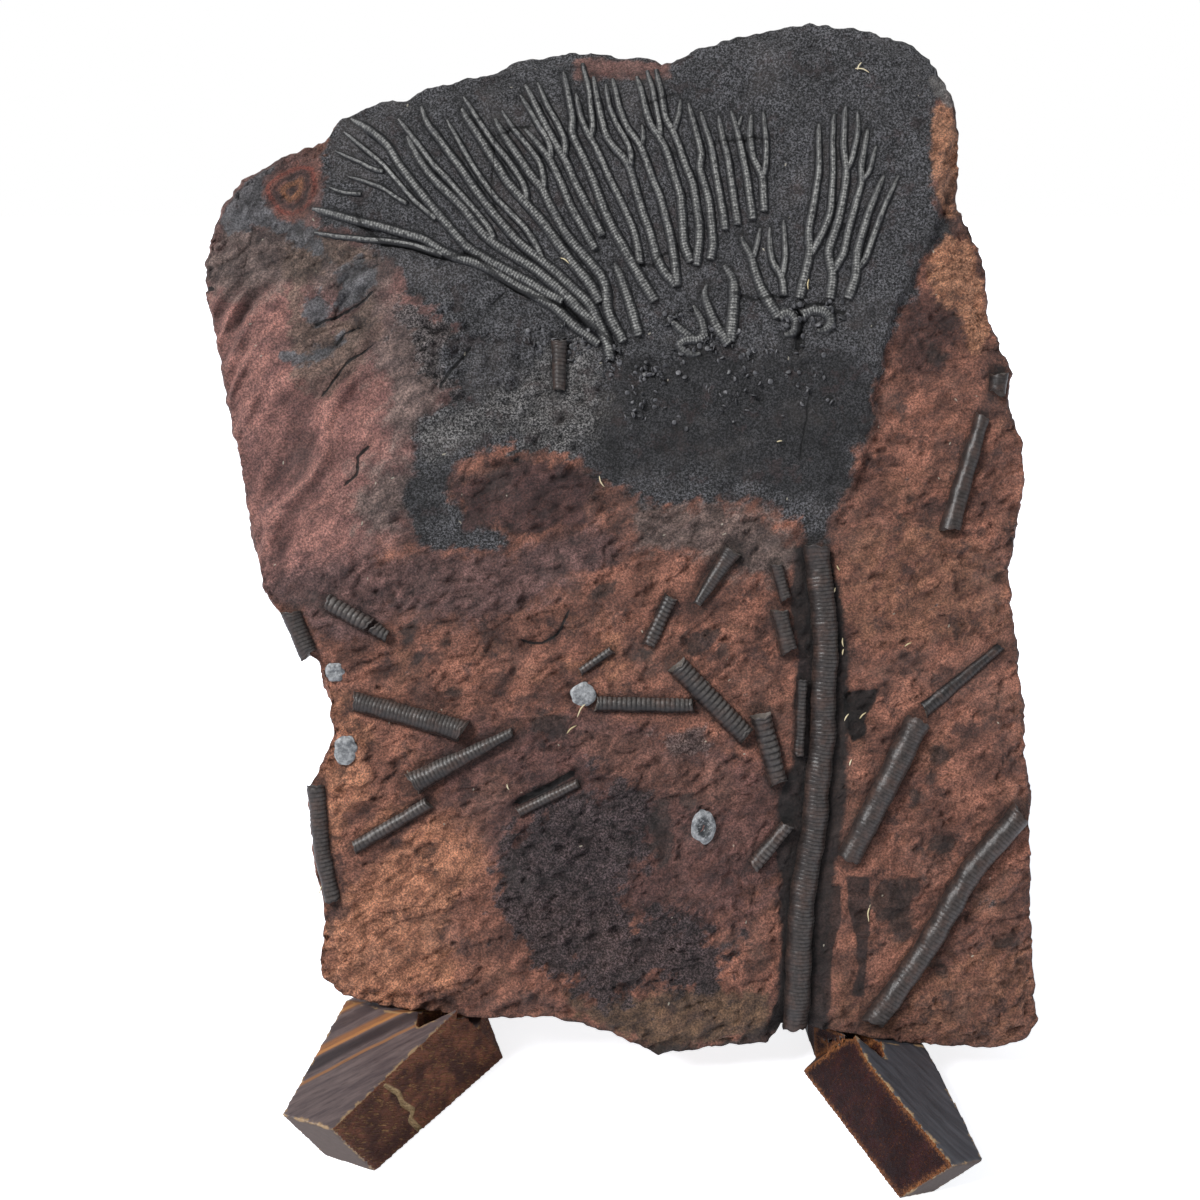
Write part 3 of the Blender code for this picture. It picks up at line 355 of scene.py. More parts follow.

# %% [markdown]
# ## Patches of colour, cracks and painted shadow lines
#
# The stone's colours come in patches with frayed borders: the black bed round the crown,
# mauve stone to its left, orange-brown below, and black stains. Each patch is drawn as a
# rough outline, and patches of one colour share a name.

# %% Patches and cracks
PATCHES = {
    "dusk": [
        [(-125, 130), (-125, 262), (-86, 262), (-62, 238), (-44, 226), (-28, 212), (-32, 190),
         (-40, 168), (-52, 150), (-80, 136)],
    ],
    "mid_dark": [
        [(-102.9, 142.7), (-78.3, 145), (-55.1, 145.6), (-23.2, 146.2), (0, 154.3), (11.6, 147),
         (-11.6, 134), (-37.7, 123.8), (-58, 125.3), (-75.4, 116.6), (-89.9, 131.1)],
        [(-105.6, 142.7), (-87, 138.3), (-78.3, 131.1), (-87, 125.9), (-98, 131.1)],
    ],
    "mauve": [
        [(-116, 223), (-98, 223.3), (-83.5, 222.7), (-87, 212.3), (-89.3, 203.6), (-79.8, 197.2),
         (-72.5, 198.4), (-66.1, 209.4), (-63.8, 218.1), (-57.4, 229.1), (-53.9, 218.1), (-55.7, 203.6),
         (-50.8, 189.1), (-53.4, 177.5), (-56.8, 168.8), (-63.8, 154.3), (-59.4, 146.2), (-78.3, 142.7),
         (-100, 138.3), (-105.8, 165.9), (-111.6, 194.9)],
    ],
    "orange": [
        [(-80.6, 15.1), (-79.5, 36.8), (-71.9, 49.3), (-58.6, 59.7), (-46.4, 68.7), (-29, 82.4),
         (-23.2, 77.1), (-33.1, 65.5), (-31.3, 53.9), (-42.9, 43.5), (-45.2, 32.5), (-40, 24.4),
         (-48.7, 18), (-58, 13.3), (-72.5, 14.2)],
        [(-82.4, 105), (-73.9, 105), (-66.7, 93.4), (-71.9, 85.8), (-66.1, 76), (-73.9, 69.6),
         (-78.3, 55.7), (-81.8, 67.3), (-80.6, 78.9), (-76.6, 90.5)],
        [(-2.9, 91.9), (11.6, 91.1), (29, 84.1), (42, 76), (40.6, 69.6), (29, 73.1), (11.6, 76),
         (0, 81.2)],
        [(-71, 60.9), (-69.6, 64.4), (-53.7, 74), (-52.2, 72.2)],
        [(-10, 112), (-2.5, 119), (5, 118.5), (6.5, 113), (-1, 108.5)],
    ],
    "warm": [
        [(71.9, 147), (87, 154.3), (104.4, 148.5), (117.4, 142.7), (118.3, 125.3), (104.4, 119.5),
         (88.4, 116.6), (76, 119.5), (71, 131.1)],
        [(69.6, 19.4), (81.2, 15.1), (88.4, 29.6), (104.4, 26.7), (124.7, 35.4), (127.6, 0.6),
         (69.6, 3.5)],
    ],
    "maroon": [
        [(-49.3, 90.6), (-11.6, 100.7), (26.1, 92), (50.7, 81.9), (52.2, 55.8), (40.6, 35.5),
         (26.1, 29.7), (0, 44.2), (-26.1, 44.2), (-34.8, 58.7), (-46.4, 73.2)],
    ],
    "umber_grey": [
        [(11.6, 157.2), (29, 160.1), (52.2, 157.2), (58, 142.8), (49.3, 137), (29, 142.8),
         (11.6, 147.1)],
        [(-114.8, 229.1), (-109.6, 242.8), (-98, 247.1), (-87, 236.1), (-73.9, 235.5), (-60.3, 229.1),
         (-57.4, 218.1), (-66.1, 212.9), (-78.3, 218.1), (-87, 222.2), (-100.9, 220.4),
         (-114.2, 222.2)],
        [(-66.1, 222.2), (-50.7, 212.9), (-42.9, 203), (-44.6, 189.1), (-54.5, 174.1), (-55.1, 154.3),
         (-66.1, 148.6), (-71.9, 160.1), (-63.2, 177.5), (-66.1, 194.9), (-71.9, 209.4)],
    ],
    "tan": [
        [(-87, 239), (-73.9, 236.1), (-66.1, 230.8), (-78.3, 229.1), (-85.5, 221), (-87, 212.3),
         (-78.3, 210.5), (-66.1, 219.2), (-63.8, 209.4), (-71.9, 197.2), (-79.8, 189.1), (-87, 197.2),
         (-91.6, 203.6), (-89.9, 215.2), (-91.1, 229.1)],
    ],
    "ochre": [
        [(-11.6, 18), (0, 13.3), (14.5, 18), (34.8, 19.4), (49.3, 15.1), (47.8, 5.8), (34.8, 1.7),
         (17.4, 0), (2.9, 4.6), (-7.2, 9.9)],
    ],
    "grey_hash": [
        [(-55.7, 216.3), (-46.4, 218.1), (-37.7, 212.9), (-29, 209.4), (-11.6, 205), (-0.6, 197.8),
         (2.9, 183.3), (0, 171.1), (-7.2, 173.1), (-17.4, 176), (-29, 176), (-37.7, 181.8),
         (-44.7, 191.4), (-52.2, 197.2), (-55.7, 205)],
    ],
    "stain": [
        [(-27.5, 60), (-19.7, 71.6), (-2.9, 79.5), (11.6, 76), (16.8, 65.5), (12.8, 53.9), (6.4, 44.7),
         (15.1, 37.7), (29.6, 39.4), (38.3, 30.2), (37.7, 19.7), (26.1, 17.4), (11.6, 17.4),
         (1.2, 12.8), (-11.6, 18.6), (-20.3, 26.1), (-27.5, 35.4), (-31, 47)],
    ],
    # Painted shade: near-black over the channel along both sides of the main stem.
    "stem_channel_shade": [
        [(56.8, 147), (55.4, 131.1), (57.1, 119.5), (57.1, 102.1), (56, 84.7), (51.9, 73.1),
         (51.3, 58.6), (52.5, 44.1), (52.2, 26.7), (51, 15.1), (48.7, 5.2), (66.7, 4.6), (65.5, 20.9),
         (66.7, 38.3), (69, 55.7), (71.3, 76), (72.5, 102.1), (71.9, 119.5), (69.6, 134), (67, 147)],
    ],
    "legs": [
        [(65.5, 47), (70.2, 48.4), (69.9, 38.3), (67.9, 31), (67, 22.3), (67.3, 15.1), (66.1, 10.7),
         (62.3, 11), (62.6, 19.4), (63.2, 29.6), (64.4, 38.3)],
        [(71.6, 51), (78.3, 51), (78, 35.4), (77.1, 26.7), (76.6, 15.9), (72.8, 16.2), (75.1, 25.2),
         (74.2, 32.5), (71.9, 41.2)],
    ],
    "hollow": [
        [(71.3, 104.4), (81.5, 105.8), (79.5, 100.6), (77.1, 97.4), (77.1, 91.6), (73.4, 89.9),
         (71.3, 96.3)],
    ],
    "wine": [
        [(87, 218.1), (94.2, 221.6), (102.1, 218.1), (105.8, 207.9), (101.5, 197.2), (91.3, 194.9),
         (84.7, 203.6)],
        [(-37.7, 210.8), (-31.9, 212.9), (-25.5, 207.9), (-23.2, 203), (-17.4, 200.1), (-23.2, 198.9),
         (-30.2, 203.6), (-35.4, 205)],
    ],
    "black_bed": [
        [(-81.8, 240.7), (-80.6, 254), (-78.3, 273.2), (-78.3, 287.7), (-11.6, 305.1), (116, 305.1),
         (116, 287.7), (101.5, 282.5), (98, 274.6), (96.6, 261.6), (97.4, 250), (100.3, 243),
         (102.4, 237.8), (94.5, 230.3), (93.1, 222.4), (85.8, 209.4), (80.6, 194.9), (77.7, 183.3),
         (75.4, 173.1), (71.9, 165.9), (68.4, 156.6), (66.7, 146.2), (59.7, 146.2), (56.8, 152.8),
         (49.3, 157.8), (39.1, 160.7), (26.1, 160.1), (15.9, 159.2), (7.2, 161.5), (0, 166.5),
         (-7.2, 173.1), (-17.4, 176), (-29, 175.2), (-40, 171.1), (-44.4, 166.5), (-42.9, 160.1),
         (-37.7, 153.7), (-29, 149.9), (-25.5, 146.7), (-37.7, 145.6), (-49.3, 146.7), (-54.5, 151.4),
         (-55.7, 158.6), (-53.6, 168.8), (-54.8, 177.5), (-49.3, 184.7), (-40, 190.5), (-44.7, 196.3),
         (-47.6, 203.6), (-41.2, 209.4), (-49.3, 214.6), (-56.5, 219.5), (-58.6, 227.4), (-66.1, 233.7),
         (-73.9, 236.6)],
    ],
    # Painted shade: dark at the foot of the step at the black bed's right edge, and over low ground in the
    # black bed.
    "black_shade": [
        [(88.4, 218.1), (93.9, 228), (101.2, 236.5), (103.5, 240.9), (97.1, 241.7), (91.9, 229.7)],
        [(0.6, 197.2), (11.6, 203), (29, 203.6), (52.2, 205.1), (72.5, 203), (81.7, 193.5),
         (75.9, 177.5), (69, 160.1), (58, 160.1), (41.2, 166.5), (18, 167.1), (3.5, 162.5),
         (-2.3, 174.6), (0, 187.7)],
        [(-53.6, 165.9), (-43.5, 168.8), (-23.2, 171.2), (-2.9, 168.8), (0, 160.1), (-11.6, 162.5),
         (-34.8, 164.2), (-46.4, 160.1), (-52.8, 148.6), (-55.7, 157.2)],
    ],
    "silver": [
        [(-11.6, 206.5), (-2.3, 203), (1.2, 189.1), (-1.2, 177.5), (-11.6, 174.1), (-23.2, 180.4),
         (-34.8, 177.5), (-49.3, 174.1), (-52.8, 180.4), (-37.7, 189.1), (-23.2, 194.9)],
    ],
    "red_island": [
        [(-43.5, 165.3), (-36.2, 166.5), (-29, 168.8), (-17.4, 171.1), (-7.2, 169.9), (-2.9, 164.7),
         (-4.6, 157.2), (-2.9, 152.8), (-11.6, 151.4), (-22.6, 150.2), (-27.5, 152.5), (-34.2, 153.1),
         (-39.4, 152.5), (-38.9, 160.1), (-42.9, 161.8)],
    ],
    "slate": [
        [(-85.5, 219.2), (-81.8, 221), (-78.3, 218.1), (-78.9, 212.9), (-82.4, 210.8), (-85.3, 213.4)],
        [(-78, 218.1), (-76, 226.2), (-69.6, 229.1), (-64.4, 227.4), (-64.4, 221.6), (-71, 216.3),
         (-76.6, 213.4)],
        [(-114.5, 242.7), (-109.6, 250), (-101.5, 257.2), (-95.7, 258.7), (-98, 254.3), (-96.3, 245.6),
         (-87, 240.7), (-81.8, 237.8), (-78.3, 229.1), (-87, 235.5), (-98, 239), (-108.7, 239.5)],
        [(-94, 204.7), (-87, 203), (-78.3, 205.9), (-73.9, 208.8), (-77.7, 202.1), (-85.3, 198.9),
         (-92.2, 200.1)],
    ],
    "rust_eye": [
        [(-98, 248.2), (-99.2, 252.3), (-94, 256.9), (-87, 259.3), (-82.4, 257.5), (-81.2, 251.7),
         (-83.5, 245.3), (-89.3, 241.9), (-94, 243)],
    ],
    "bright_orange": [
        [(94, 229.1), (101.5, 236.6), (108.7, 236.9), (113.1, 221), (114.8, 209.4), (108.7, 203.6),
         (105, 212.9), (97.1, 222.4)],
        [(98, 274.9), (102.9, 276.1), (105.8, 267.4), (105.6, 250), (103.8, 243), (98.6, 245.6),
         (96.9, 252.9), (96.6, 264.5)],
    ],
    "pale": [
        [(96.3, 284.8), (102.9, 284.8), (105.8, 276.1), (102.1, 274.9), (98, 278.4)],
    ],
    "rear_pink": [
        [(-7.2, 283.3), (-6.4, 290), (19.7, 288.3), (20.9, 283)],
    ],
    "foot_rim": [
        [(-11.6, 8.7), (-2.9, 8.7), (6.4, 2.9), (17.4, 0.9), (33.3, 1.7), (49.3, 6.4), (58, 6.4),
         (58, -2.3), (-11.6, -2.3)],
    ],
    "crumbs": [
        [(15.9, 91.3), (29, 94), (32.5, 89), (26.1, 85.5), (18.8, 87)],
    ],
}

# Round blotches of dark stain: (u, v, half width, half height, turn in degrees).
BLOTCHES = [
    (-14.8, 95.1, 5.5, 4.6, 0), (0.3, 134, 4.1, 2, 40), (-52.5, 114.5, 1.4, 2, 0),
    (-44.9, 118, 1.7, 1.4, 0), (-55.1, 121.2, 2, 2.9, -30), (-27.5, 108.5, 1.7, 1.2, 0),
    (-42.3, 103.8, 2.3, 1.2, 0), (97.7, 202.4, 3.5, 2.6, 0), (88.2, 185.3, 1.4, 2.6, 0),
    (85.3, 155.1, 2.3, 1.7, 0), (98.6, 86.1, 2.3, 2.3, 0), (95.1, 79.5, 2, 2.3, 0),
    (91.1, 74.2, 1.7, 2.3, 0), (100.3, 60.3, 4.1, 3.2, 0), (85, 43.5, 6.4, 7, 0),
    (91.1, 47.8, 2.9, 2.9, 0), (87.9, 35.4, 2.9, 2.3, 0), (118.9, 31.6, 4.1, 2, 0),
    (98.9, 24.6, 3.2, 2.6, 0), (99.8, 17.7, 2.9, 1.4, 0), (29, 119.5, 5.2, 4.1, 0),
    (24.9, 73.1, 2.6, 2.3, 0), (18, 64.4, 3.5, 9.9, 0), (34.8, 116.6, 2.9, 2.3, 0),
    (116.9, 195.5, 2.6, 2.9, 0), (11.6, 115.1, 2.3, 1.7, 0), (40.6, 142.7, 2.3, 2.3, 0),
]

# Cracks and painted shadow lines, all drawn near-black, partly as painted shade in the cracks and at the
# foot of small scarps: (half width, line).
CRACKS_AND_SHADOW_LINES = [
    (0.55, [(-71, 243.9), (-69.3, 240.1), (-62.9, 234.6), (-54.5, 233.4), (-50.8, 232), (-44.9, 230.3),
        (-42.3, 230.8), (-38.6, 231.4), (-35.4, 230.5), (-33.3, 228.2), (-28.7, 224.2), (-23.5, 220.7),
        (-12.8, 217.2), (-9, 215.5), (-5.2, 212.6), (-1.2, 210), (3.5, 205.6), (6.4, 201.8)]),
    (0.35, [(14.5, 275.2), (18.8, 276.9), (21.8, 277.8)]),
    (0.35, [(34.2, 264.2), (41.2, 264.5), (45.2, 265.6), (49, 264.5)]),
    (0.35, [(10.4, 229.1), (15.4, 228.2), (17.4, 230.5), (20, 232.3)]),
    (0.4, [(38, 220.1), (42, 219.2), (45.2, 218.1), (50.2, 219.2), (53.4, 218.7)]),
    (0.5, [(57.1, 214.9), (61.5, 216.6), (65.5, 216.6), (68.4, 215.2), (71.3, 214.3)]),
    (0.35, [(-31, 265.9), (-27.3, 266.2), (-25.5, 268), (-20.3, 268.5)]),
    (0.2, [(-30.4, 265.1), (-30.7, 259.8), (-31.6, 250), (-30.4, 244.5)]),
    (0.3, [(-31.3, 217.2), (-27.3, 220.7)]),
    (0.4, [(-37.4, 204.7), (-44.9, 195.5), (-46.4, 192.3)]),
    (0.35, [(-82.6, 211.1), (-76.6, 213.1), (-70.5, 216.3), (-65.8, 220.4)]),
    (0.3, [(-76.6, 205), (-74.2, 208.2), (-69.6, 210)]),
    (0.3, [(-80.9, 189.9), (-77.1, 195.2), (-73.4, 199.8), (-68.7, 202.7), (-65.8, 204.7)]),
    (0.35, [(-73.7, 164.4), (-70.2, 167.3), (-69.9, 172.3), (-66.4, 175.7)]),
    (0.35, [(-9, 128.5), (-10.7, 123.8), (-12.5, 121.2), (-16.8, 118.6), (-20.3, 118.6),
        (-22.9, 119.5)]),
    (0.25, [(60.9, 191.1), (60, 183.6), (58.6, 176), (58, 171.4)]),
    (0.9, [(57.7, 214.6), (58, 209.4), (57.7, 203.6)]),
    (0.6, [(62.3, 141.8), (65.5, 141.8)]),
    (0.7, [(-115.7, 222.4), (-113.7, 222.7)]),
    (0.9, [(-24.4, 72.2), (-16, 76.2), (-7.5, 80.9)]),
]
print(len(PATCHES), "colours of patch,", len(BLOTCHES), "blotches and", len(CRACKS_AND_SHADOW_LINES), "cracks")

# %% [markdown]
# ## The broad shape of the bed
#
# Before any small detail, the bed has broad swells, a channel along the main stem, a step down
# to the right of the black bed, corners that fall away, and a rounded rim. Stems and arms
# lie on this broad shape, so that they neither float nor sink out of sight.

# %% Broad relief
BLACK_BED_RIGHT_EDGE = [(154, 68.2), (172, 75.4), (189, 78.3), (212, 82.7), (233, 94.3), (276, 104.4)]
STEM_LINE = [(7.5, 57.1), (32, 58), (56, 60.9), (78, 63.2), (103, 65), (129, 65), (146, 62.9)]
BROAD_SWELL = 1.3
STEM_CHANNEL_DEPTH = 2.0
STEM_CHANNEL_HALF_WIDTH = 6.5
BLACK_BED_STEP = 2.2
LEFT_FALL = 4.0
CORNER_FALL = 3.5
EDGE_ROUND_DEPTH = 1.8
EDGE_ROUND_WIDTH = 7.0


def read_line(line, at):
    """Reads a line of (place, value) points, straight between them and flat beyond them."""
    places, values = np.array(line, float).T
    return np.interp(at, places, values)


def edge_distance(u, v):
    """How far a place is from the nearest of the four edges, along u or along v."""
    return np.minimum.reduce([
        u - read_line([point[::-1] for point in LEFT_EDGE], v),
        read_line([point[::-1] for point in RIGHT_EDGE], v) - u,
        v - read_line(BOTTOM_EDGE, u),
        read_line(TOP_EDGE, u) - v,
    ])


def broad_relief(u, v):
    """Height of the bed: swells, less the stem's channel, the step, the falls and the rounding."""
    swell = BROAD_SWELL * (noise(u / 38, v / 31, 0.3) + 0.45 * noise(u / 13, v / 17, 5.1))
    off_stem = (u - read_line(STEM_LINE, v)) / STEM_CHANNEL_HALF_WIDTH
    channel = STEM_CHANNEL_DEPTH * np.exp(-off_stem ** 2) * smooth_step(152, 140, v)
    past_black_bed = u - read_line(BLACK_BED_RIGHT_EDGE, v) + 2.5 * noise(u / 6, v / 6, 2.2)
    step = BLACK_BED_STEP * smooth_step(0, 3.5, past_black_bed) * smooth_step(140, 165, v)
    left_fall = LEFT_FALL * smooth_step(-72, -114, u) * smooth_step(120, 180, v)
    corner_fall = CORNER_FALL * smooth_step(262, 298, v) * smooth_step(70, 104, u)
    rounding = EDGE_ROUND_DEPTH * smooth_step(EDGE_ROUND_WIDTH, 0, edge_distance(u, v))
    return swell - channel - step - left_fall - corner_fall - rounding


print("the channel is", round(float(-broad_relief(65.0, 100.0)), 1), "mm deep at its middle")

# %% [markdown]
# ## A grid that fills the outline
#
# The face of the slab is one grid. A Coons patch spreads it between the four edges: each
# point is the blend of the left and right edges, plus the blend of the bottom and top ones, less
# the blend of the four corners, which would count twice.

# %% Face grid
CELLS_ACROSS = 252
CELLS_UP = 304
RIM_WANDER = 0.8


def spaced_points(line, count):
    """count + 1 places at even steps along a line, read off by length."""
    points = np.array(line, float)
    starts = np.concatenate([[0], np.cumsum(np.linalg.norm(np.diff(points, axis=0), axis=1))])
    steps = np.linspace(0, starts[-1], count + 1)
    return np.stack([np.interp(steps, starts, points[:, axis]) for axis in (0, 1)], axis=-1)


def coons_grid(across, up):
    """Left and right blended, plus bottom and top blended, less the four corners blended."""
    s = np.linspace(0, 1, across + 1)[None, :, None]
    t = np.linspace(0, 1, up + 1)[:, None, None]
    left, right = (spaced_points(edge, up)[:, None] for edge in (LEFT_EDGE, RIGHT_EDGE))
    bottom, top = (spaced_points(edge, across)[None] for edge in (BOTTOM_EDGE, TOP_EDGE))
    low_corners = (1 - s) * bottom[:, :1] + s * bottom[:, -1:]
    high_corners = (1 - s) * top[:, :1] + s * top[:, -1:]
    corners = (1 - t) * low_corners + t * high_corners
    return (1 - s) * left + s * right + (1 - t) * bottom + t * top - corners


face = coons_grid(CELLS_ACROSS, CELLS_UP)
rim = smooth_step(9, 0, edge_distance(face[..., 0], face[..., 1]))
for axis in (0, 1):
    wander = layered_noise(face[..., 0] / 6, face[..., 1] / 6, 20 + 7 * axis, 3)
    face[..., axis] += RIM_WANDER * rim * wander
U, V = face[..., 0], face[..., 1]
print("the face has", U.size, "points, about", round(float(np.ptp(U) / CELLS_ACROSS), 2), "mm apart")

# %% [markdown]
# ## Helpers that turn arrays into meshes
#
# Every new surface is a grid of points, so all of them use the same few helpers: one numbers
# the corners of the grid's faces, one closes the ends of a rod, and one writes the mesh. The
# last one also checks that the faces point outwards, by the sign of the mesh's volume.

# %% Mesh helpers
def grid_quads(rows, columns, closed=False):
    """Corner numbers of the quads between rows of points; closed joins the last column to the first."""
    row = np.arange(rows - 1)[:, None] * columns
    column = np.arange(columns if closed else columns - 1)[None, :]
    after = (column + 1) % columns
    corners = (row + column, row + after, row + after + columns, row + column + columns)
    return np.stack(np.broadcast_arrays(*corners), axis=-1).reshape(-1, 4)


def rod_faces(rows, sides):
    """Quads along a rod, and a fan of triangles at each end, whose points come last."""
    ring = np.arange(sides)
    after = (ring + 1) % sides
    last = (rows - 1) * sides
    first_fan = np.stack([after, ring, np.full(sides, rows * sides)], axis=-1)
    last_fan = np.stack([last + ring, last + after, np.full(sides, rows * sides + 1)], axis=-1)
    return grid_quads(rows, sides, closed=True), np.concatenate([first_fan, last_fan])


def make_piece(name, points, quads, triangles, marks):
    """Writes one mesh object: its faces, smooth shading, and marks, one number for each point."""
    mesh = bpy.data.meshes.new(name)
    mesh.from_pydata(points.reshape(-1, 3), [], quads.tolist() + triangles.tolist())
    halves = np.concatenate([quads[:, [0, 1, 2]], quads[:, [0, 2, 3]], triangles.reshape(-1, 3)])
    a, b, c = (points.reshape(-1, 3)[halves[:, corner]] for corner in range(3))
    volume = (np.cross(a, b) * c).sum() / 6
    if volume < 0:
        mesh.flip_normals()
    for mark, values in marks.items():
        attribute = mesh.attributes.new(mark, "FLOAT", "POINT")
        attribute.data.foreach_set("value", np.ascontiguousarray(values, np.float32).ravel())
    mesh.shade_smooth()
    mesh.update()
    piece = bpy.data.objects.new(name, mesh)
    bpy.context.scene.collection.objects.link(piece)
    print(name, "has", len(halves), "triangles and", round(abs(volume) * 1e6, 2), "cubic cm")
    return piece


# %% [markdown]
# ## Rods that follow a line
#
# A stem or an arm is a closed ring of points carried along a line. The drawn line has corners,
# so it is first averaged over a short reach, which rounds them. The radius swells and
# shrinks once for each ring of the stem, with a narrow groove at each joint.

# %% Rods
def rounded_path(line, step, reach):
    """Even steps along a line, each the weighted mean of its neighbours within reach."""
    length = np.linalg.norm(np.diff(np.array(line, float), axis=0), axis=1).sum()
    points = spaced_points(line, max(6, round(length / step)))
    span = min(max(1, round(reach / step)), len(points) - 1)
    before = 2 * points[0] - points[span:0:-1]
    beyond = 2 * points[-1] - points[-2:-span - 2:-1]
    padded = np.concatenate([before, points, beyond])
    weights = np.hanning(2 * span + 3)[1:-1]
    weights /= weights.sum()
    return np.stack([np.convolve(padded[:, axis], weights, "valid") for axis in (0, 1)], axis=-1)


def ring_groove(along, pitch, width):
    """1 in the narrow groove at each joint between rings, 0 on the ring itself."""
    from_joint = np.abs((along / pitch) % 1 - 0.5) * 2
    return smooth_step(1 - width, 1, from_joint)


def carry_section(path, radii, section, lift):
    """Places a section on each point of a path: across times the radius to the side of the
    path, and up times the radius above the bed."""
    run = np.gradient(path, axis=0)
    run /= np.linalg.norm(run, axis=1, keepdims=True)
    side = np.stack([-run[:, 1], run[:, 0]], axis=-1)
    across, up = section
    flat = path[:, None] + (radii * across)[..., None] * side[:, None]
    height = broad_relief(path[:, 0], path[:, 1])[:, None] + radii * (up + lift)
    return np.concatenate([flat, height[..., None]], axis=-1)


def close_rod(points):
    """Adds the middle of the first and of the last ring, for the fans that close the ends."""
    ends = np.stack([points[0].mean(axis=0), points[-1].mean(axis=0)])
    return np.concatenate([points.reshape(-1, 3), ends])


def crack_marks(u, v):
    """The distance to the nearest crack, with a sign for its side, and the crack's half width
    there, which is 0 past the crack's ends and well away from it."""
    side = np.full(u.shape, 9.0)
    width = np.zeros(u.shape)
    for half_width, line in CRACKS_AND_SHADOW_LINES:
        distance, along = line_distance(line, u, v)
        steps = spaced_points(line, 40)
        runs = np.gradient(steps, axis=0)
        index = np.clip(np.round(along * 40).astype(int), 0, 40)
        run, start = runs[index], steps[index]
        sign = np.where(run[..., 0] * (v - start[..., 1]) < run[..., 1] * (u - start[..., 0]), -1, 1)
        inside = smooth_step(0, 0.02, along) * smooth_step(1, 0.98, along)
        closer = distance < np.abs(side)
        side = np.where(closer, distance * sign, side)
        width = np.where(closer, inside * smooth_step(2.6, 1.6, distance) * half_width, width)
    return {"crack_side": side, "crack_width": width}


def join_rods(name, rods, cracked=False):
    """One piece from many rods, each (points, rows, sides, marks)."""
    places, quads, triangles, marks, count = [], [], [], {}, 0
    for points, rows, sides, rod_marks in rods:
        rod_quads, rod_triangles = rod_faces(rows, sides)
        closed = close_rod(points)
        places.append(closed)
        quads.append(rod_quads + count)
        triangles.append(rod_triangles + count)
        count += len(closed)
        for mark, values in rod_marks.items():
            full = np.broadcast_to(values, (rows, sides))
            ends = [full[0].mean(), full[-1].mean()]
            marks.setdefault(mark, []).append(np.concatenate([full.ravel(), ends]))
    bed = np.concatenate(places)
    world = place(bed[:, 0], bed[:, 1], bed[:, 2])
    joined = {mark: np.concatenate(values) for mark, values in marks.items()}
    if cracked:
        joined.update(crack_marks(bed[:, 0], bed[:, 1]))
    return make_piece(name, world, np.concatenate(quads), np.concatenate(triangles), joined)


# %% [markdown]
# ## The arms
#
# On the real animal an arm is a row of small plates like a string of beads, and
# here each is pressed flat: two raised shoulders with a shallow furrow between them. The rings
# are deep near the root and fade towards the thin tip.

# %% Arm rods
ARM_LIFT = 0.0
ARM_PITCH = 0.85
ARM_SLIMNESS = 0.84
ARM_ACROSS = np.array([0, 0.9, 1.9, 1.3, 0.85, 0.42, 0.0, -0.42, -0.85, -1.3, -1.9, -0.9])
ARM_UP = np.array([-1.1, -1.0, -0.6, -0.05, 0.42, 0.86, 0.68, 0.86, 0.42, -0.05, -0.6, -1.0])
# How pale each point of an arm's section is painted: a painted highlight on the two crests, partly pale
# wear.
ARM_CREST_HIGHLIGHT_AND_WEAR = np.array([0, 0, 0, 0.0, 0.3, 1.0, 0.6, 1.0, 0.3, 0.0, 0, 0])
ARM_FADE = 4.0  # how far from the tip an arm sinks deepest


def arm_rod(root_radius, tip_radius, line):
    """A low rod whose section has two crests with a furrow between them.

    The radius goes evenly from root to tip, times 1 + 0.12 * noise, and drops to half over the
    last five rows. Every other row is a joint, where it is less by 0.02 to 0.09 of itself. The
    rod sinks into the bed at both ends.
    """
    path = rounded_path(line, ARM_PITCH / 2, 3.0)
    rows = len(path)
    share = np.linspace(0, 1, rows)
    along = np.arange(rows) * ARM_PITCH / 2
    radius = ARM_SLIMNESS * (root_radius + (tip_radius - root_radius) * share)
    radius = radius * np.minimum(1, 0.5 + 0.5 * (rows - 1 - np.arange(rows)) / 5)
    radius *= 1 + 0.12 * noise(path[:, 0] / 3, path[:, 1] / 3, 31)
    depth = 0.02 + 0.07 * smooth_step(0.8, 1.6, radius)
    joint = (np.arange(rows) % 2 == 0) * 1.0
    radii = (radius * (1 - depth * joint))[:, None]
    points = carry_section(path, radii, (ARM_ACROSS, ARM_UP), ARM_LIFT)
    to_tip = (rows - 1 - np.arange(rows)) * ARM_PITCH / 2
    sinking = 0.55 * smooth_step(2.5 * ARM_FADE, 0, to_tip) + 0.3 * smooth_step(ARM_FADE, 0, to_tip)
    sinking = sinking + 0.35 * smooth_step(2.0, 0, along)
    points[..., 2] -= (sinking * radius)[:, None]
    marks = {
        "crest_highlight_and_wear": ARM_CREST_HIGHLIGHT_AND_WEAR[None, :] * (0.45 + 0.55 * smooth_step(0, 4 * ARM_FADE, to_tip))[:, None],
        "thickness": radius[:, None],
        "along": along[:, None],
    }
    return points, rows, len(ARM_UP), marks


arms = join_rods("crown_arms", [arm_rod(*arm) for arm in ARMS], cracked=True)

# %% [markdown]
# ## The stems
#
# A stem is a stack of round plates. Each plate here has four rows of points, so that its
# groove can be narrow. Noise makes the plates uneven and the rod lumpy, and the broken
# ends are slanted and ragged, as where a stem snapped.

# %% Stems
STEM_SIDES = 24
NODE_SPACING = 11.0
BREAK_REACH = 2.6
END_SCALES = np.array([0.55, 0.86, 0.97])
END_OFFSETS = np.array([0.35, 0.12, 0.0])


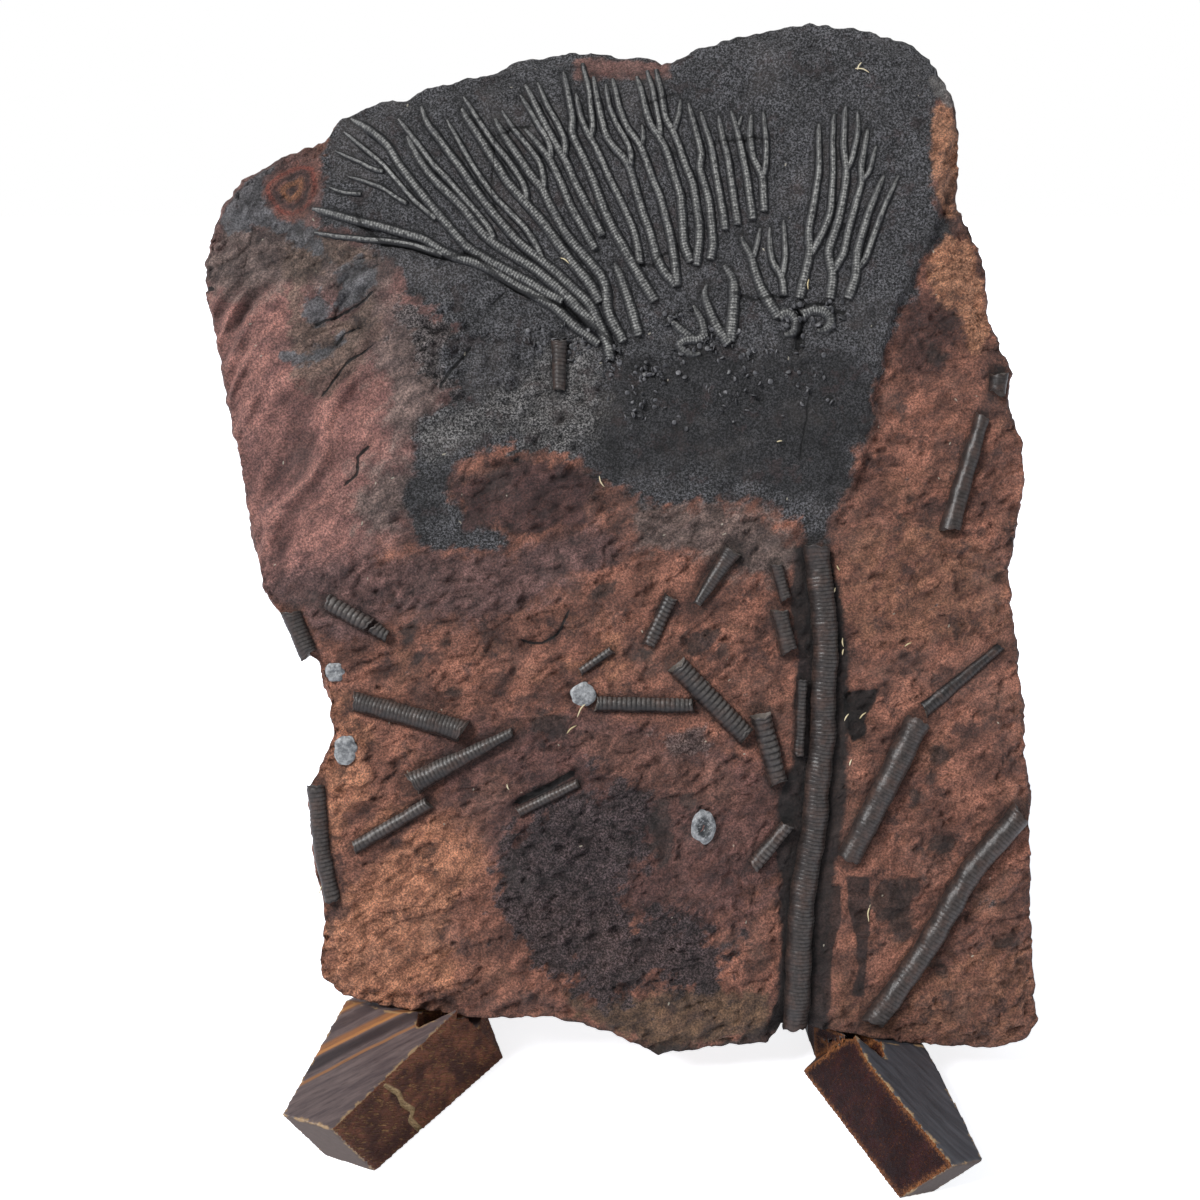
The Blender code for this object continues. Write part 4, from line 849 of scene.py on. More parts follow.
def stem_rod(first_radius, last_radius, pitch, ring_height, lift, paleness, line):
    """A stack of rings.

    The radius goes evenly from first to last, times 1 + 0.05 * noise, times 1 + 0.035 * cosine
    for the nodes, times 1 + ring_height / 2 * (0.5 - groove) + 0.03 * noise for the rings, and
    times 1 + 0.09 * noise for lumps. Near an end, a point moves along the stem by the radius
    times 0.28 * cosine + 0.3 * noise, so that the break slants.
    """
    path = rounded_path(line, pitch / 4, 4.0)
    rows = len(path)
    along = np.arange(rows) * pitch / 4
    radius = np.linspace(first_radius, last_radius, rows)
    radius *= 1 + 0.05 * noise(path[:, 0] / 9, path[:, 1] / 9, 41)
    radius *= 1 + 0.035 * np.cos(2 * np.pi * along / NODE_SPACING)
    groove = ring_groove(along + 0.5 * pitch, pitch, 0.62)
    ring_number = np.floor(along / pitch)
    uneven = noise(ring_number * 0.77, first_radius + ring_number * 0.31, 42)
    radii = radius * (1 + 0.5 * ring_height * (0.5 - groove) + 0.03 * uneven)
    path = np.concatenate([path[:1].repeat(3, axis=0), path, path[-1:].repeat(3, axis=0)])
    run = np.gradient(path[3:-3], axis=0)
    first_run, last_run = run[0] / np.linalg.norm(run[0]), run[-1] / np.linalg.norm(run[-1])
    path[:3] += END_OFFSETS[:, None] * first_run
    path[-3:] -= END_OFFSETS[::-1, None] * last_run
    radii = np.concatenate([radii[0] * END_SCALES, radii, radii[-1] * END_SCALES[::-1]])
    turns = np.linspace(0, 2 * np.pi, STEM_SIDES, endpoint=False)[None, :]
    rows = len(path)
    run = np.gradient(path[3:-3], axis=0)
    run = np.concatenate([run[:1].repeat(3, axis=0), run, run[-1:].repeat(3, axis=0)])
    run /= np.linalg.norm(run, axis=1, keepdims=True)
    side = np.stack([-run[:, 1], run[:, 0]], axis=-1)
    true_radius = np.concatenate([radius[:1].repeat(3), radius, radius[-1:].repeat(3)])
    height = broad_relief(path[:, 0], path[:, 1]) + lift * true_radius
    lumps = noise(np.cos(turns) + path[:, :1] / 4, np.sin(turns) + path[:, 1:] / 4, 43)
    radii = radii[:, None] * (1 + 0.09 * lumps)
    flat = path[:, None] + (radii * np.cos(turns))[..., None] * side[:, None]
    travelled = np.concatenate([np.zeros(3), along, np.full(3, along[-1])])
    near_start = smooth_step(BREAK_REACH, 0, travelled)
    near_end = smooth_step(BREAK_REACH, 0, along[-1] - travelled)
    slant = 0.28 * np.cos(turns + 7.0 * path[0, 0])
    slant = slant + 0.3 * noise(2.2 * np.cos(turns), 2.2 * np.sin(turns), 44)
    shove = (near_start - near_end)[:, None] * slant * true_radius[:, None]
    flat = flat + shove[..., None] * run[:, None]
    up = height[:, None] + radii * np.sin(turns)
    points = np.concatenate([flat, up[..., None]], axis=-1)
    full_groove = np.concatenate([np.zeros(3), groove, np.zeros(3)])
    end = np.concatenate([[1, 1, 0.6], np.zeros(rows - 6), [0.6, 1, 1]])
    marks = {
        "joint": full_groove[:, None],
        "paleness": np.full((rows, 1), paleness),
        "cut_end": end[:, None],
        "bite": np.full((rows, 1), ring_height),
        "lit_side": np.cos(turns),
    }
    return points, rows, STEM_SIDES, marks


stems = join_rods("stems", [stem_rod(*stem) for stem in [MAIN_STEM] + LOOSE_STEMS])

# %% [markdown]
# ## Single ossicles
#
# Four single plates lie flat and show their worn round faces. They are thick coins with a
# wavy outline and a domed, uneven face. One still has its hollow middle.

# %% Ossicles
OSSICLE_RISE = 1.15
HOLLOW_OSSICLE = 3


def ossicle_rod(middle, half_width, half_height, number):
    """Rings of points from the middle outwards and down: height is the rim's dome, less a dip
    in the middle, plus low noise over the face."""
    sides = 48
    turns = np.linspace(0, 2 * np.pi, sides, endpoint=False)[None, :]
    shares = np.array([0.1, 0.18, 0.28, 0.42, 0.56, 0.7, 0.82, 0.91, 0.97, 1.0, 1.0])[:, None]
    rise = OSSICLE_RISE * (1 - 0.45 * smooth_step(0.7, 1.02, shares))
    hollow = 1.0 if number == HOLLOW_OSSICLE else 0.12
    rise = rise - 0.6 * hollow * smooth_step(0.62, 0.2, shares)
    across, up = 2 * shares * np.cos(turns), 2 * shares * np.sin(turns)
    rise = rise + 0.25 * noise(1.3 * across, 1.3 * up, 51 + number)
    wave = 1 + 0.28 * noise(1.6 * np.cos(turns), 1.6 * np.sin(turns), 50 + 3 * number)
    u = middle[0] + half_width * shares * wave * np.cos(turns)
    v = middle[1] + half_height * shares * wave * np.sin(turns)
    rise = np.broadcast_to(rise, u.shape).copy()
    rise[-1] = -0.6
    w = broad_relief(*middle) + rise + 0.12 * noise(u / 1.5, v / 1.5, 60)
    marks = {
        "rim": np.broadcast_to(shares, u.shape),
        "hollow": np.full(u.shape, hollow),
    }
    return np.stack([u, v, w], axis=-1), len(shares), sides, marks


ossicles = join_rods("ossicles", [ossicle_rod(*disc, n) for n, disc in enumerate(OSSICLES)])

# %% [markdown]
# ## Loose plates and straws
#
# Where the arms meet, the bed is littered with loose plates from the decayed cups. Each is a
# small coin, tipped a random way. A few straws of dry grass have stuck to the stone as well.

# %% Loose plates
# Clusters of loose plates: (u, v, spread along u, spread along v, count).
PLATE_CLUSTERS = [
    (-5.5, 205.5, 3.5, 4.5, 26), (3.5, 200.5, 3.0, 4.5, 26), (14.5, 197.0, 5.0, 4.0, 34),
    (31.0, 207.0, 7.0, 4.0, 46), (22.0, 213.0, 4.0, 3.0, 14), (43.0, 203.0, 6.0, 4.0, 30),
    (56.0, 213.5, 3.5, 3.0, 20), (66.5, 214.0, 5.0, 3.5, 26), (12.0, 186.0, 9.0, 6.0, 26),
    (36.0, 190.0, 12.0, 7.0, 34), (-16.0, 209.0, 5.0, 4.0, 14), (60.0, 196.0, 8.0, 8.0, 22),
]
PLATE_SIDES = 10


def plate_rods():
    """Coins: four rings of points round a random axis. The first and the last have half the
    radius and lie a thickness above and below the middle, and the two between have all of it."""
    draw = np.random.default_rng(23)
    rods = []
    turns = np.linspace(0, 2 * np.pi, PLATE_SIDES, endpoint=False)
    for mid_u, mid_v, spread_u, spread_v, count in PLATE_CLUSTERS:
        for _ in range(count):
            u, v = mid_u + spread_u * draw.normal() / 1.6, mid_v + spread_v * draw.normal() / 1.6
            radius, thick = draw.uniform(0.45, 0.95), draw.uniform(0.1, 0.2)
            axis = draw.normal(size=3) * (1, 1, 1.4)
            axis /= np.linalg.norm(axis)
            side = np.cross(axis, (0.3, 0.5, 0.8))
            side /= np.linalg.norm(side)
            other = np.cross(axis, side)
            scales, shifts = np.array([0.5, 1, 1, 0.5]), np.array([-1, -0.8, 0.8, 1]) * thick
            ring = np.cos(turns)[:, None] * side + np.sin(turns)[:, None] * other
            points = radius * scales[:, None, None] * ring + shifts[:, None, None] * axis
            middle = np.array([u, v, float(broad_relief(u, v)) + 0.05 * radius])
            shade = np.full((4, 1), draw.uniform())
            rods.append((points + middle, 4, PLATE_SIDES, {"shade": shade}))
    return rods


plates = join_rods("loose_plates", plate_rods())

# %% Straws
# Straws: (u, v, length, turn in degrees).
STRAWS = [
    (76.0, 284.5, 4.2, -15), (75.2, 285.8, 2.6, 60), (69.2, 140.4, 1.6, 120), (68.3, 134.0, 1.4, 80),
    (70.6, 118.8, 2.6, 95), (70.6, 116.0, 1.8, 80), (71.6, 97.0, 2.4, 60), (76.2, 97.6, 2.6, 45),
    (-10.2, 229.4, 3.0, -35), (60.3, 222.4, 3.0, 85), (52.6, 120.6, 2.2, -75), (-8.2, 93.6, 3.6, 40),
    (-5.0, 99.4, 5.5, 55), (-26.6, 77.0, 1.8, 110), (-80.6, 47.4, 4.6, 60), (72.6, 84.0, 2.0, 70),
    (78.0, 40.5, 5.0, 85), (89.2, 118.2, 2.2, 30), (52.0, 177.0, 1.6, 10), (0.5, 165.4, 3.4, 115),
]


def straw_rod(u, v, length, turn):
    """A thin rod along a slightly bent line, whose radius is the root of a half sine wave."""
    run = np.array([math.cos(math.radians(turn)), math.sin(math.radians(turn))])
    bend = 0.12 * length * np.array([-run[1], run[0]])
    start, end = np.array([u, v]) - run * length / 2, np.array([u, v]) + run * length / 2
    path = rounded_path([start, (start + end) / 2 + bend, end], 0.4, 1.0)
    rows = len(path)
    radii = 0.2 * np.sqrt(np.sin(np.linspace(0.15, np.pi - 0.15, rows)))[:, None]
    turns = np.linspace(0, 2 * np.pi, 6, endpoint=False)
    points = carry_section(path, radii, (np.cos(turns), np.sin(turns)), 2.0)
    points[..., 2] += 0.5
    return points, rows, 6, {"shade": np.full((rows, 1), (u * 7.3) % 1.0)}


straws = join_rods("straws", [straw_rod(*straw) for straw in STRAWS])

# %% [markdown]
# ## The fine surface of the slab
#
# The stone splits along its bedding, so it breaks into thin flakes with small scarps between
# them. Terraced noise makes these. The black bed is finely granular, the mauve stone has
# slanting ridges, and next to each stem and arm the stone lies a little lower, as where it
# was picked away. Most of the fine relief fades near the stems, so that they stand clear.

# %% Fine relief
ALL_RODS = [(stem[0], stem[-1]) for stem in [MAIN_STEM] + LOOSE_STEMS]
ALL_RODS += [(0.9 * max(arm[:2]), arm[-1]) for arm in ARMS]


def growth_distance(u, v, reach=8.0):
    """How far a place is from the side of the nearest stem or arm, up to reach."""
    nearest = np.full(u.shape, reach)
    for radius, line in ALL_RODS:
        points = np.array(line, float)
        low, high = points.min(axis=0) - reach, points.max(axis=0) + reach
        near = (u > low[0]) & (u < high[0]) & (v > low[1]) & (v < high[1])
        distance, _ = line_distance(line, u[near], v[near])
        nearest[near] = np.minimum(nearest[near], distance - radius)
    return nearest


def within(name, u, v, softness=3.0):
    """1 inside the patches of that name, 0 outside, with a soft border."""
    return smooth_step(-softness, softness, patch_field(name, u, v))


def patch_field(name, u, v):
    """The distance to the border of the patches of that name, positive inside them."""
    return np.max([patch_distance(outline, u, v) for outline in PATCHES[name]], axis=0)


RIDGE_TURN = math.radians(57)


def ridge_field(u, v):
    """Slanting folds: noise that is long one way and narrow the other, with sharp crests."""
    across = u * math.sin(RIDGE_TURN) - v * math.cos(RIDGE_TURN)
    along = u * math.cos(RIDGE_TURN) + v * math.sin(RIDGE_TURN)
    bend = 2.5 * noise(u / 30, v / 30, 79)
    broad_folds = 1 - 2.6 * np.abs(noise(across / 11 + bend, along / 60, 80))
    return broad_folds + 0.6 * noise(across / 3.2 + bend, along / 22, 81)


def fine_relief(u, v):
    """Flakes, grain and ridges by patch, faded out near stems and arms, less moats and cracks."""
    black = within("black_bed", u, v)
    mauve = within("mauve", u, v, 6) * (1 - black)
    hashed = within("grey_hash", u, v, 4)
    stain = within("stain", u, v, 5)
    flake_field = 3.0 * layered_noise(u / 34 + v / 90, v / 19 - u / 60, 70, 5)
    flakes = terraces(flake_field, 0.7, 0.22) - flake_field
    lumps = layered_noise(u / 9, v / 7.5, 90, 4)
    rough = layered_noise(u / 3.4, v / 3.0, 95, 2)
    grain = noise(u / 2.0, v / 2.0, 100)
    height = (1 - black) * (1 - mauve) * (2.3 * flakes + 1.15 * lumps + 0.8 * rough)
    height = height + mauve * (2.5 * ridge_field(u, v) + 0.5 * lumps + 0.3 * rough)
    height = height + hashed * 2.4 * layered_noise(u / 4.2, v / 3.4, 110, 3)
    height = height + stain * 1.5 * layered_noise(u / 3.0, v / 2.4, 120, 3)
    height = height + 0.4 * grain + black * (1.1 * lumps + 1.15 * rough)
    beside = growth_distance(u, v)
    height = height * (0.15 + 0.85 * smooth_step(0, 3.5, beside))
    height = height - 0.45 * smooth_step(1.6, 0, beside)
    height = height - 1.5 * smooth_step(-0.6, 0.8, patch_field("hollow", u, v))
    for half_width, line in CRACKS_AND_SHADOW_LINES:
        distance, _ = line_distance(line, u, v)
        height = height - 1.6 * half_width * np.exp(-(distance / (1.5 * half_width)) ** 2)
    return height


FINE = fine_relief(U, V)
W = broad_relief(U, V) + FINE
print("the face runs from", round(float(W.min()), 1), "to", round(float(W.max()), 1), "mm")

# %% [markdown]
# ## The sides and the back of the slab
#
# The border of the face is drawn back ring by ring. The sides bulge out behind the rim, show
# the edges of thin beds as small steps, and draw in again towards the back, as a
# slab does that was split off a bigger block. The back is coarser, so a strip of fans joins every
# fourth point of the last ring to it.

# %% Sides and back
SLAB_MIDDLE = np.array([5.0, 145.0])
SIDE_DEPTHS = np.array([1.2, 2.8, 4.6, 7.0, 9.6, 12.4, 15.4, 18.6, 21.6, 24.2, 25.8])
SIDE_GROWTH = [(0, 0.0), (4.5, 0.010), (14, 0.018), (22, 0.008), (27, -0.027)]
BOTTOM_GROWTH = [(0, 0.0), (14, 0.0), (22, -0.010), (27, -0.040)]
LEDGE_SHARE = [(0, 0.0), (2.5, 0.35), (4.5, 1.0), (14, 1.0), (22, 0.0)]
REAR_LEDGE = 4.2
REAR_LEDGE_MIDDLE = np.array([-4.0, 286.0])
REAR_LEDGE_HALF_WIDTH = 30.0
BACK_DEPTH = 26.0
BACK_ROUGHNESS = 4.16
BACK_LOWEST = -27.6
BACK_HIGHEST = -23.0
BACK_SHARE = 0.955
BACK_STEP = 4
SIDES_DEEPEST = -27.4
PATCH_REACH = 12.0
SLAB_THICKNESS = 27.0


def rim_loop(grid):
    """The border points of a grid, once round: bottom, right, top and left."""
    return np.concatenate([grid[0, :-1], grid[:-1, -1], grid[-1, :0:-1], grid[:0:-1, 0]])


rim_uvw = rim_loop(np.stack([U, V, W], axis=-1))
rim_uv, rim_w = rim_uvw[:, :2], rim_uvw[:, 2]
outward = rim_uv - SLAB_MIDDLE
reach_out = np.linalg.norm(outward, axis=1)
outward = outward / reach_out[:, None]
bottomness = smooth_step(44, 36, rim_uv[:, 1])
from_ledge = np.linalg.norm(rim_uv - REAR_LEDGE_MIDDLE, axis=1)
ledge = REAR_LEDGE * smooth_step(0, 1, 2 - 2 * from_ledge / REAR_LEDGE_HALF_WIDTH)
sides = []
for depth in SIDE_DEPTHS:
    growth = (1 - bottomness) * read_line(SIDE_GROWTH, depth) + bottomness * read_line(BOTTOM_GROWTH, depth)
    beds = layered_noise(rim_uv[:, 0] / 14, rim_uv[:, 1] / 14, depth / 2.2, 3)
    crumbled = layered_noise(rim_uv[:, 0] / 4, rim_uv[:, 1] / 4, 200 + depth / 3, 2)
    beds = (1.5 * terraces(beds, 0.3, 0.4) + 0.6 * crumbled) * smooth_step(0, 3, depth)
    beds = np.where(bottomness > 0.5, -np.abs(beds), beds)
    out = growth * reach_out + beds + ledge * read_line(LEDGE_SHARE, depth)
    w = rim_w + (-depth - rim_w) * smooth_step(0, 6, depth)
    w = np.minimum(w, rim_w - 0.6 * depth)
    w = np.maximum(w, SIDES_DEEPEST)
    sides.append(np.concatenate([rim_uv + outward * out[:, None], w[:, None]], axis=-1))
sides = np.array(sides)
coarse = np.stack([U, V], axis=-1)[::BACK_STEP, ::BACK_STEP]
back_uv = SLAB_MIDDLE + (coarse - SLAB_MIDDLE) * BACK_SHARE
back_lumps = terraces(layered_noise(back_uv[..., 0] / 34, back_uv[..., 1] / 26, 300, 4), 0.16, 0.4)
back_w = np.clip(-BACK_DEPTH + BACK_ROUGHNESS * back_lumps, BACK_LOWEST, BACK_HIGHEST)
back = np.concatenate([back_uv, back_w[..., None]], axis=-1)

# %% Slab mesh
face_points = np.stack([U, V, W], axis=-1).reshape(-1, 3)
number = np.arange(U.size).reshape(U.shape)
rim_numbers = rim_loop(number)
ring_count = len(rim_numbers)
side_numbers = U.size + np.arange(len(SIDE_DEPTHS) * ring_count).reshape(-1, ring_count)
loops = np.concatenate([rim_numbers[None], side_numbers])
after = np.roll(loops, -1, axis=1)
side_quads = np.stack([loops[1:], after[1:], after[:-1], loops[:-1]], axis=-1).reshape(-1, 4)
back_numbers = U.size + sides.shape[0] * ring_count + np.arange(back_w.size).reshape(back_w.shape)
back_loop = rim_loop(back_numbers)
back_after = np.roll(back_loop, -1)
last = loops[-1]
fine = [np.roll(last, -step)[::BACK_STEP] for step in range(BACK_STEP + 1)]
fans = [np.stack([fine[step + 1], fine[step], back_loop], axis=-1) for step in (0, 1)]
fans += [np.stack([fine[step + 1], fine[step], back_after], axis=-1) for step in (2, 3)]
fans.append(np.stack([fine[2], back_loop, back_after], axis=-1))
back_corners = (back_numbers[:-1, :-1], back_numbers[1:, :-1], back_numbers[1:, 1:], back_numbers[:-1, 1:])
back_quads = np.stack(back_corners, axis=-1).reshape(-1, 4)
slab_quads = np.concatenate([grid_quads(*U.shape), side_quads, back_quads])
slab_points = np.concatenate([face_points, sides.reshape(-1, 3), back.reshape(-1, 3)])
slab_u, slab_v, slab_w = slab_points.T


def patch_mark(name):
    """The distance to the border of the patches of that name, kept within PATCH_REACH."""
    return np.clip(patch_field(name, slab_u, slab_v), -PATCH_REACH, PATCH_REACH)


depths = [np.zeros(U.size), np.repeat(SIDE_DEPTHS, ring_count), np.full(back_w.size, SLAB_THICKNESS)]
depth_mark = np.concatenate(depths)
buried = np.maximum(depth_mark - 2.0, 0)
marks = {name: patch_mark(name) - 1.2 * buried for name in PATCHES}
marks["rear_pink"] = patch_mark("rear_pink") - 0.5 * np.maximum(depth_mark - 16, 0)
blotch = np.full(slab_u.shape, -PATCH_REACH)
for mid_u, mid_v, half_u, half_v, turn in BLOTCHES:
    c, s = math.cos(math.radians(turn)), math.sin(math.radians(turn))
    x, y = slab_u - mid_u, slab_v - mid_v
    size = np.hypot((x * c + y * s) / half_u, (y * c - x * s) / half_v)
    blotch = np.maximum(blotch, (1 - size) * min(half_u, half_v))
marks["blotch"] = np.clip(blotch - buried, -PATCH_REACH, PATCH_REACH)
marks["height"] = np.concatenate([FINE.ravel(), 0.8 * noise(slab_u / 5, slab_v / 5, slab_w / 3)[U.size:]])
marks["ridge"] = ridge_field(slab_u, slab_v)
marks.update(crack_marks(slab_u, slab_v))
marks["crack_width"] = marks["crack_width"] - 0.3 * buried
marks["beside_growth"] = growth_distance(slab_u, slab_v) + buried
slab = make_piece(
    "slab_stone", place(slab_u, slab_v, slab_w), slab_quads, np.concatenate(fans), marks)
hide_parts("slab")

# %% [markdown]
# ## The wooden feet
#
# The feet are two skew-cut offcuts of dark striped wood. Their shape is right in the frame
# already, so each is copied and its loose triangles are merged. A Remesh modifier then builds the
# copy again from small equal faces, which can be moved: worn back a little at the edges, and
# by noise where the saw tore the fibres. The left foot has a split down its sawn side.

# %% Feet
FLAT_ANGLE = math.radians(3)
SHARP_ANGLE = math.radians(20)
FOOT_CELL = 0.5
SAWN_REACH = 22.0
FAR_FROM_SPLIT = 9.0
LEFT_SPLIT = [
    (-57.8, -21.1, 20.7), (-55.0, -18.4, 15.6), (-54.2, -18.2, 11.9), (-51.9, -16.1, 7.5),
    (-52.7, -17.5, 5.7), (-49.7, -15.2, -1.5),
]


def segment_distance(points, start, end):
    """How far each point is from a straight edge between two ends."""
    run = end - start
    share = np.clip((points - start) @ run / (run @ run), 0, 1)
    return np.linalg.norm(points - start - share[:, None] * run, axis=1)


def foot_copy(node, inner_side, split):
    """A foot rebuilt from small equal faces, so that its edges are worn and its sawn side is
    rough: every point of that side moves in by 0.12 mm plus noise, and by more in a split."""
    work = bmesh.new()
    work.from_mesh(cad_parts[node].data)
    bmesh.ops.remove_doubles(work, verts=work.verts, dist=0.02 * MM)
    bmesh.ops.dissolve_limit(work, angle_limit=FLAT_ANGLE, verts=work.verts, edges=work.edges)
    sharp = [edge for edge in work.edges if edge.calc_face_angle(0) > SHARP_ANGLE]
    ends = np.array([[list(vert.co) for vert in edge.verts] for edge in sharp]) / MM
    bmesh.ops.triangulate(work, faces=work.faces)
    mesh = bpy.data.meshes.new(node + "_flat")
    work.to_mesh(mesh)
    work.free()
    flat = bpy.data.objects.new(node + "_flat", mesh)
    bpy.context.scene.collection.objects.link(flat)
    rebuild = flat.modifiers.new("equal faces", "REMESH")
    rebuild.mode = "VOXEL"
    rebuild.voxel_size = FOOT_CELL * MM
    graph = bpy.context.evaluated_depsgraph_get()
    fine_mesh = bpy.data.meshes.new_from_object(flat.evaluated_get(graph))
    fine_mesh.name = node + "_wood"
    bpy.data.objects.remove(flat)
    count = len(fine_mesh.vertices)
    points, normals = np.empty(count * 3, np.float32), np.empty(count * 3, np.float32)
    fine_mesh.vertices.foreach_get("co", points)
    fine_mesh.vertex_normals.foreach_get("vector", normals)
    points, normals = points.reshape(-1, 3) / MM, normals.reshape(-1, 3)
    rim = np.min([segment_distance(points, start, end) for start, end in ends], axis=0)
    sawn = smooth_step(0.3, 0.6, normals[:, 0] * inner_side) * (points[:, 1] - SHIFT_Y < SAWN_REACH)
    x, y, z = points.T
    rough = (0.12 + 0.3 * np.abs(layered_noise(x / 2.1, y / 2.1, z / 1.4, 3))) * smooth_step(0.6, 4.0, rim)
    gap = np.full(count, FAR_FROM_SPLIT)
    for start, end in zip(split[:-1], split[1:]):
        shift = np.array([SHIFT_X, SHIFT_Y, 0])
        gap = np.minimum(gap, segment_distance(points, np.array(start) + shift, np.array(end) + shift))
    depth = sawn * (rough + 0.9 * smooth_step(1.1, 0.2, gap))
    depth = depth + 0.2 * smooth_step(1.2, 0.0, rim) * (0.5 + noise(x / 2.5, y / 2.5, z / 2.5))
    points = points - normals * depth[:, None]
    fine_mesh.vertices.foreach_set("co", (points * MM).astype(np.float32).ravel())
    toe = smooth_step(0.3, 0.7, -normals[:, 1]) * (1 - sawn)
    for name, values in (("rim", rim), ("toe", toe), ("gap", gap)):
        attribute = fine_mesh.attributes.new(name, "FLOAT", "POINT")
        attribute.data.foreach_set("value", values.astype(np.float32))
    fine_mesh.polygons.foreach_set("use_smooth", np.ones(len(fine_mesh.polygons), bool))
    fine_mesh.update()
    piece = bpy.data.objects.new(node + "_wood", fine_mesh)
    bpy.context.scene.collection.objects.link(piece)
    return piece


feet = [foot_copy("left_foot", 1, LEFT_SPLIT), foot_copy("right_foot", -1, [])]
for foot, node in zip(feet, ("left_foot", "right_foot")):
    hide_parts(node)
print("feet:", [len(foot.data.polygons) for foot in feet])

# %% [markdown]
# ## Building materials with nodes
#
# A small helper adds a node, sets it and links it in one call, so a material reads like a
# recipe. Effects that are used again and again are node groups with named sockets.

# %% Node helpers
def add(tree, kind, inputs=None, **settings):
    """Adds a node; each input is a value or another node's output."""
    node = tree.nodes.new(kind)
    for name, value in settings.items():
        setattr(node, name, value)
    for name, value in (inputs or {}).items():
        if isinstance(value, bpy.types.NodeSocket):
            tree.links.new(value, node.inputs[name])
        else:
            node.inputs[name].default_value = value
    return node


def colour(code):
    """A colour as #rrggbb, made linear: each part is ((c + 0.055) / 1.055) to the power 2.4."""
    parts = [int(code[at:at + 2], 16) / 255 for at in (1, 3, 5)]
    return [part / 12.92 if part <= 0.04045 else ((part + 0.055) / 1.055) ** 2.4 for part in parts] + [1.0]


def math_node(tree, operation, *values):
    """The result of one sum on values or sockets."""
    return add(tree, "ShaderNodeMath", dict(enumerate(values)), operation=operation).outputs[0]


def times(tree, one, other):
    """one * other"""
    return math_node(tree, "MULTIPLY", one, other)


def plus(tree, one, other):
    """one + other"""
    return math_node(tree, "ADD", one, other)


def minus(tree, one, other):
    """one - other"""
    return math_node(tree, "SUBTRACT", one, other)


def mix_colours(tree, share, low, high, blend="MIX"):
    """low * (1 - share) + high * share, or another blend of the two."""
    node = add(tree, "ShaderNodeMix", data_type="RGBA", blend_type=blend, clamp_factor=True)
    for socket, value in ((node.inputs[0], share), (node.inputs[6], low), (node.inputs[7], high)):
        if isinstance(value, bpy.types.NodeSocket):
            tree.links.new(value, socket)
        else:
            socket.default_value = value
    return node.outputs[2]


def soft_threshold(tree, value, low, high):
    """0 below low and 1 above high, smooth between them."""
    node = add(tree, "ShaderNodeMapRange", {"Value": value, "From Min": low, "From Max": high},
               interpolation_type="SMOOTHSTEP")
    return node.outputs["Result"]


def noise_node(tree, vector, scale, detail=4.0, roughness=0.55, distortion=0.0):
    """Layered noise from about 0.2 to 0.8, with bumps about 1 / scale wide."""
    node = add(tree, "ShaderNodeTexNoise", {
        "Vector": vector, "Scale": scale, "Detail": detail, "Roughness": roughness,
        "Distortion": distortion})
    return node.outputs["Fac"]


def mark(tree, name):
    """Reads one of the marks stored with the mesh's points."""
    return add(tree, "ShaderNodeAttribute", attribute_name=name).outputs["Fac"]


def new_group(name, inputs, outputs):
    """A shader node group, with its sockets: inputs are (name, kind, default)."""
    group = bpy.data.node_groups.new(name, "ShaderNodeTree")
    for socket, kind, default in inputs:
        made = group.interface.new_socket(socket, in_out="INPUT", socket_type="NodeSocket" + kind)
        if default is not None:
            made.default_value = default
    for socket, kind in outputs:
        group.interface.new_socket(socket, in_out="OUTPUT", socket_type="NodeSocket" + kind)
    return group, group.nodes.new("NodeGroupInput").outputs, group.nodes.new("NodeGroupOutput").inputs


def use_group(tree, group, inputs):
    """Places a group in a material with its own values, and gives its outputs."""
    node = tree.nodes.new("ShaderNodeGroup")
    node.node_tree = group
    for name, value in inputs.items():
        if isinstance(value, bpy.types.NodeSocket):
            tree.links.new(value, node.inputs[name])
        else:
            node.inputs[name].default_value = value
    return node.outputs


def new_material(name, roughness):
    """A material with its node tree and its Principled shader."""
    material = bpy.data.materials.new(name)
    material.use_nodes = True
    tree = material.node_tree
    shader = tree.nodes["Principled BSDF"]
    shader.inputs["Roughness"].default_value = roughness
    return material, tree, shader


# %% [markdown]
# ## Bed coordinates in a material
#
# The Mapping node does what place() does, but backwards: it turns metres in the room
# into millimetres on the bed, so that a pattern can be given its real size in millimetres
# and follow the bedding.

# %% Bed mapping
def bed_coordinates(tree):
    """u, v and w in millimetres for each place on the surface."""
    turn = LEAN_BACK - math.pi / 2
    origin = Matrix.Rotation(turn, 3, "X") @ Vector((SHIFT_X, SHIFT_Y, BED_BASE_HEIGHT))
    source = add(tree, "ShaderNodeTexCoord").outputs["Object"]
    mapping = add(tree, "ShaderNodeMapping", {
        "Vector": source, "Location": -origin, "Rotation": (turn, 0, 0),
        "Scale": (1 / MM, 1 / MM, 1 / MM)})
    return mapping.outputs["Vector"]


# %% [markdown]
# ## Groups for stone
#
# A frayed patch adds noise to the distance from a patch's border before it asks which side of
# the border a place is on. Coarse noise makes bays, fine noise makes crumbs.
#
# A crack is a thin near-black line where the distance to it, with a sign for the side, passes through
# zero. It is partly the crack's own dark and partly painted shade; some of these lines are painted
# shadow at the foot of small scarps.
# Bright specks are tiny spots inside the cells of a Voronoi pattern, in some cells only.

# %% Stone groups
def signed_noise(tree, vector, scale, detail, roughness=0.6):
    """Noise stretched to run from about -1 to 1, with 0 as its middle."""
    value = noise_node(tree, vector, scale, detail, roughness)
    return times(tree, minus(tree, value, 0.5), 5.0)


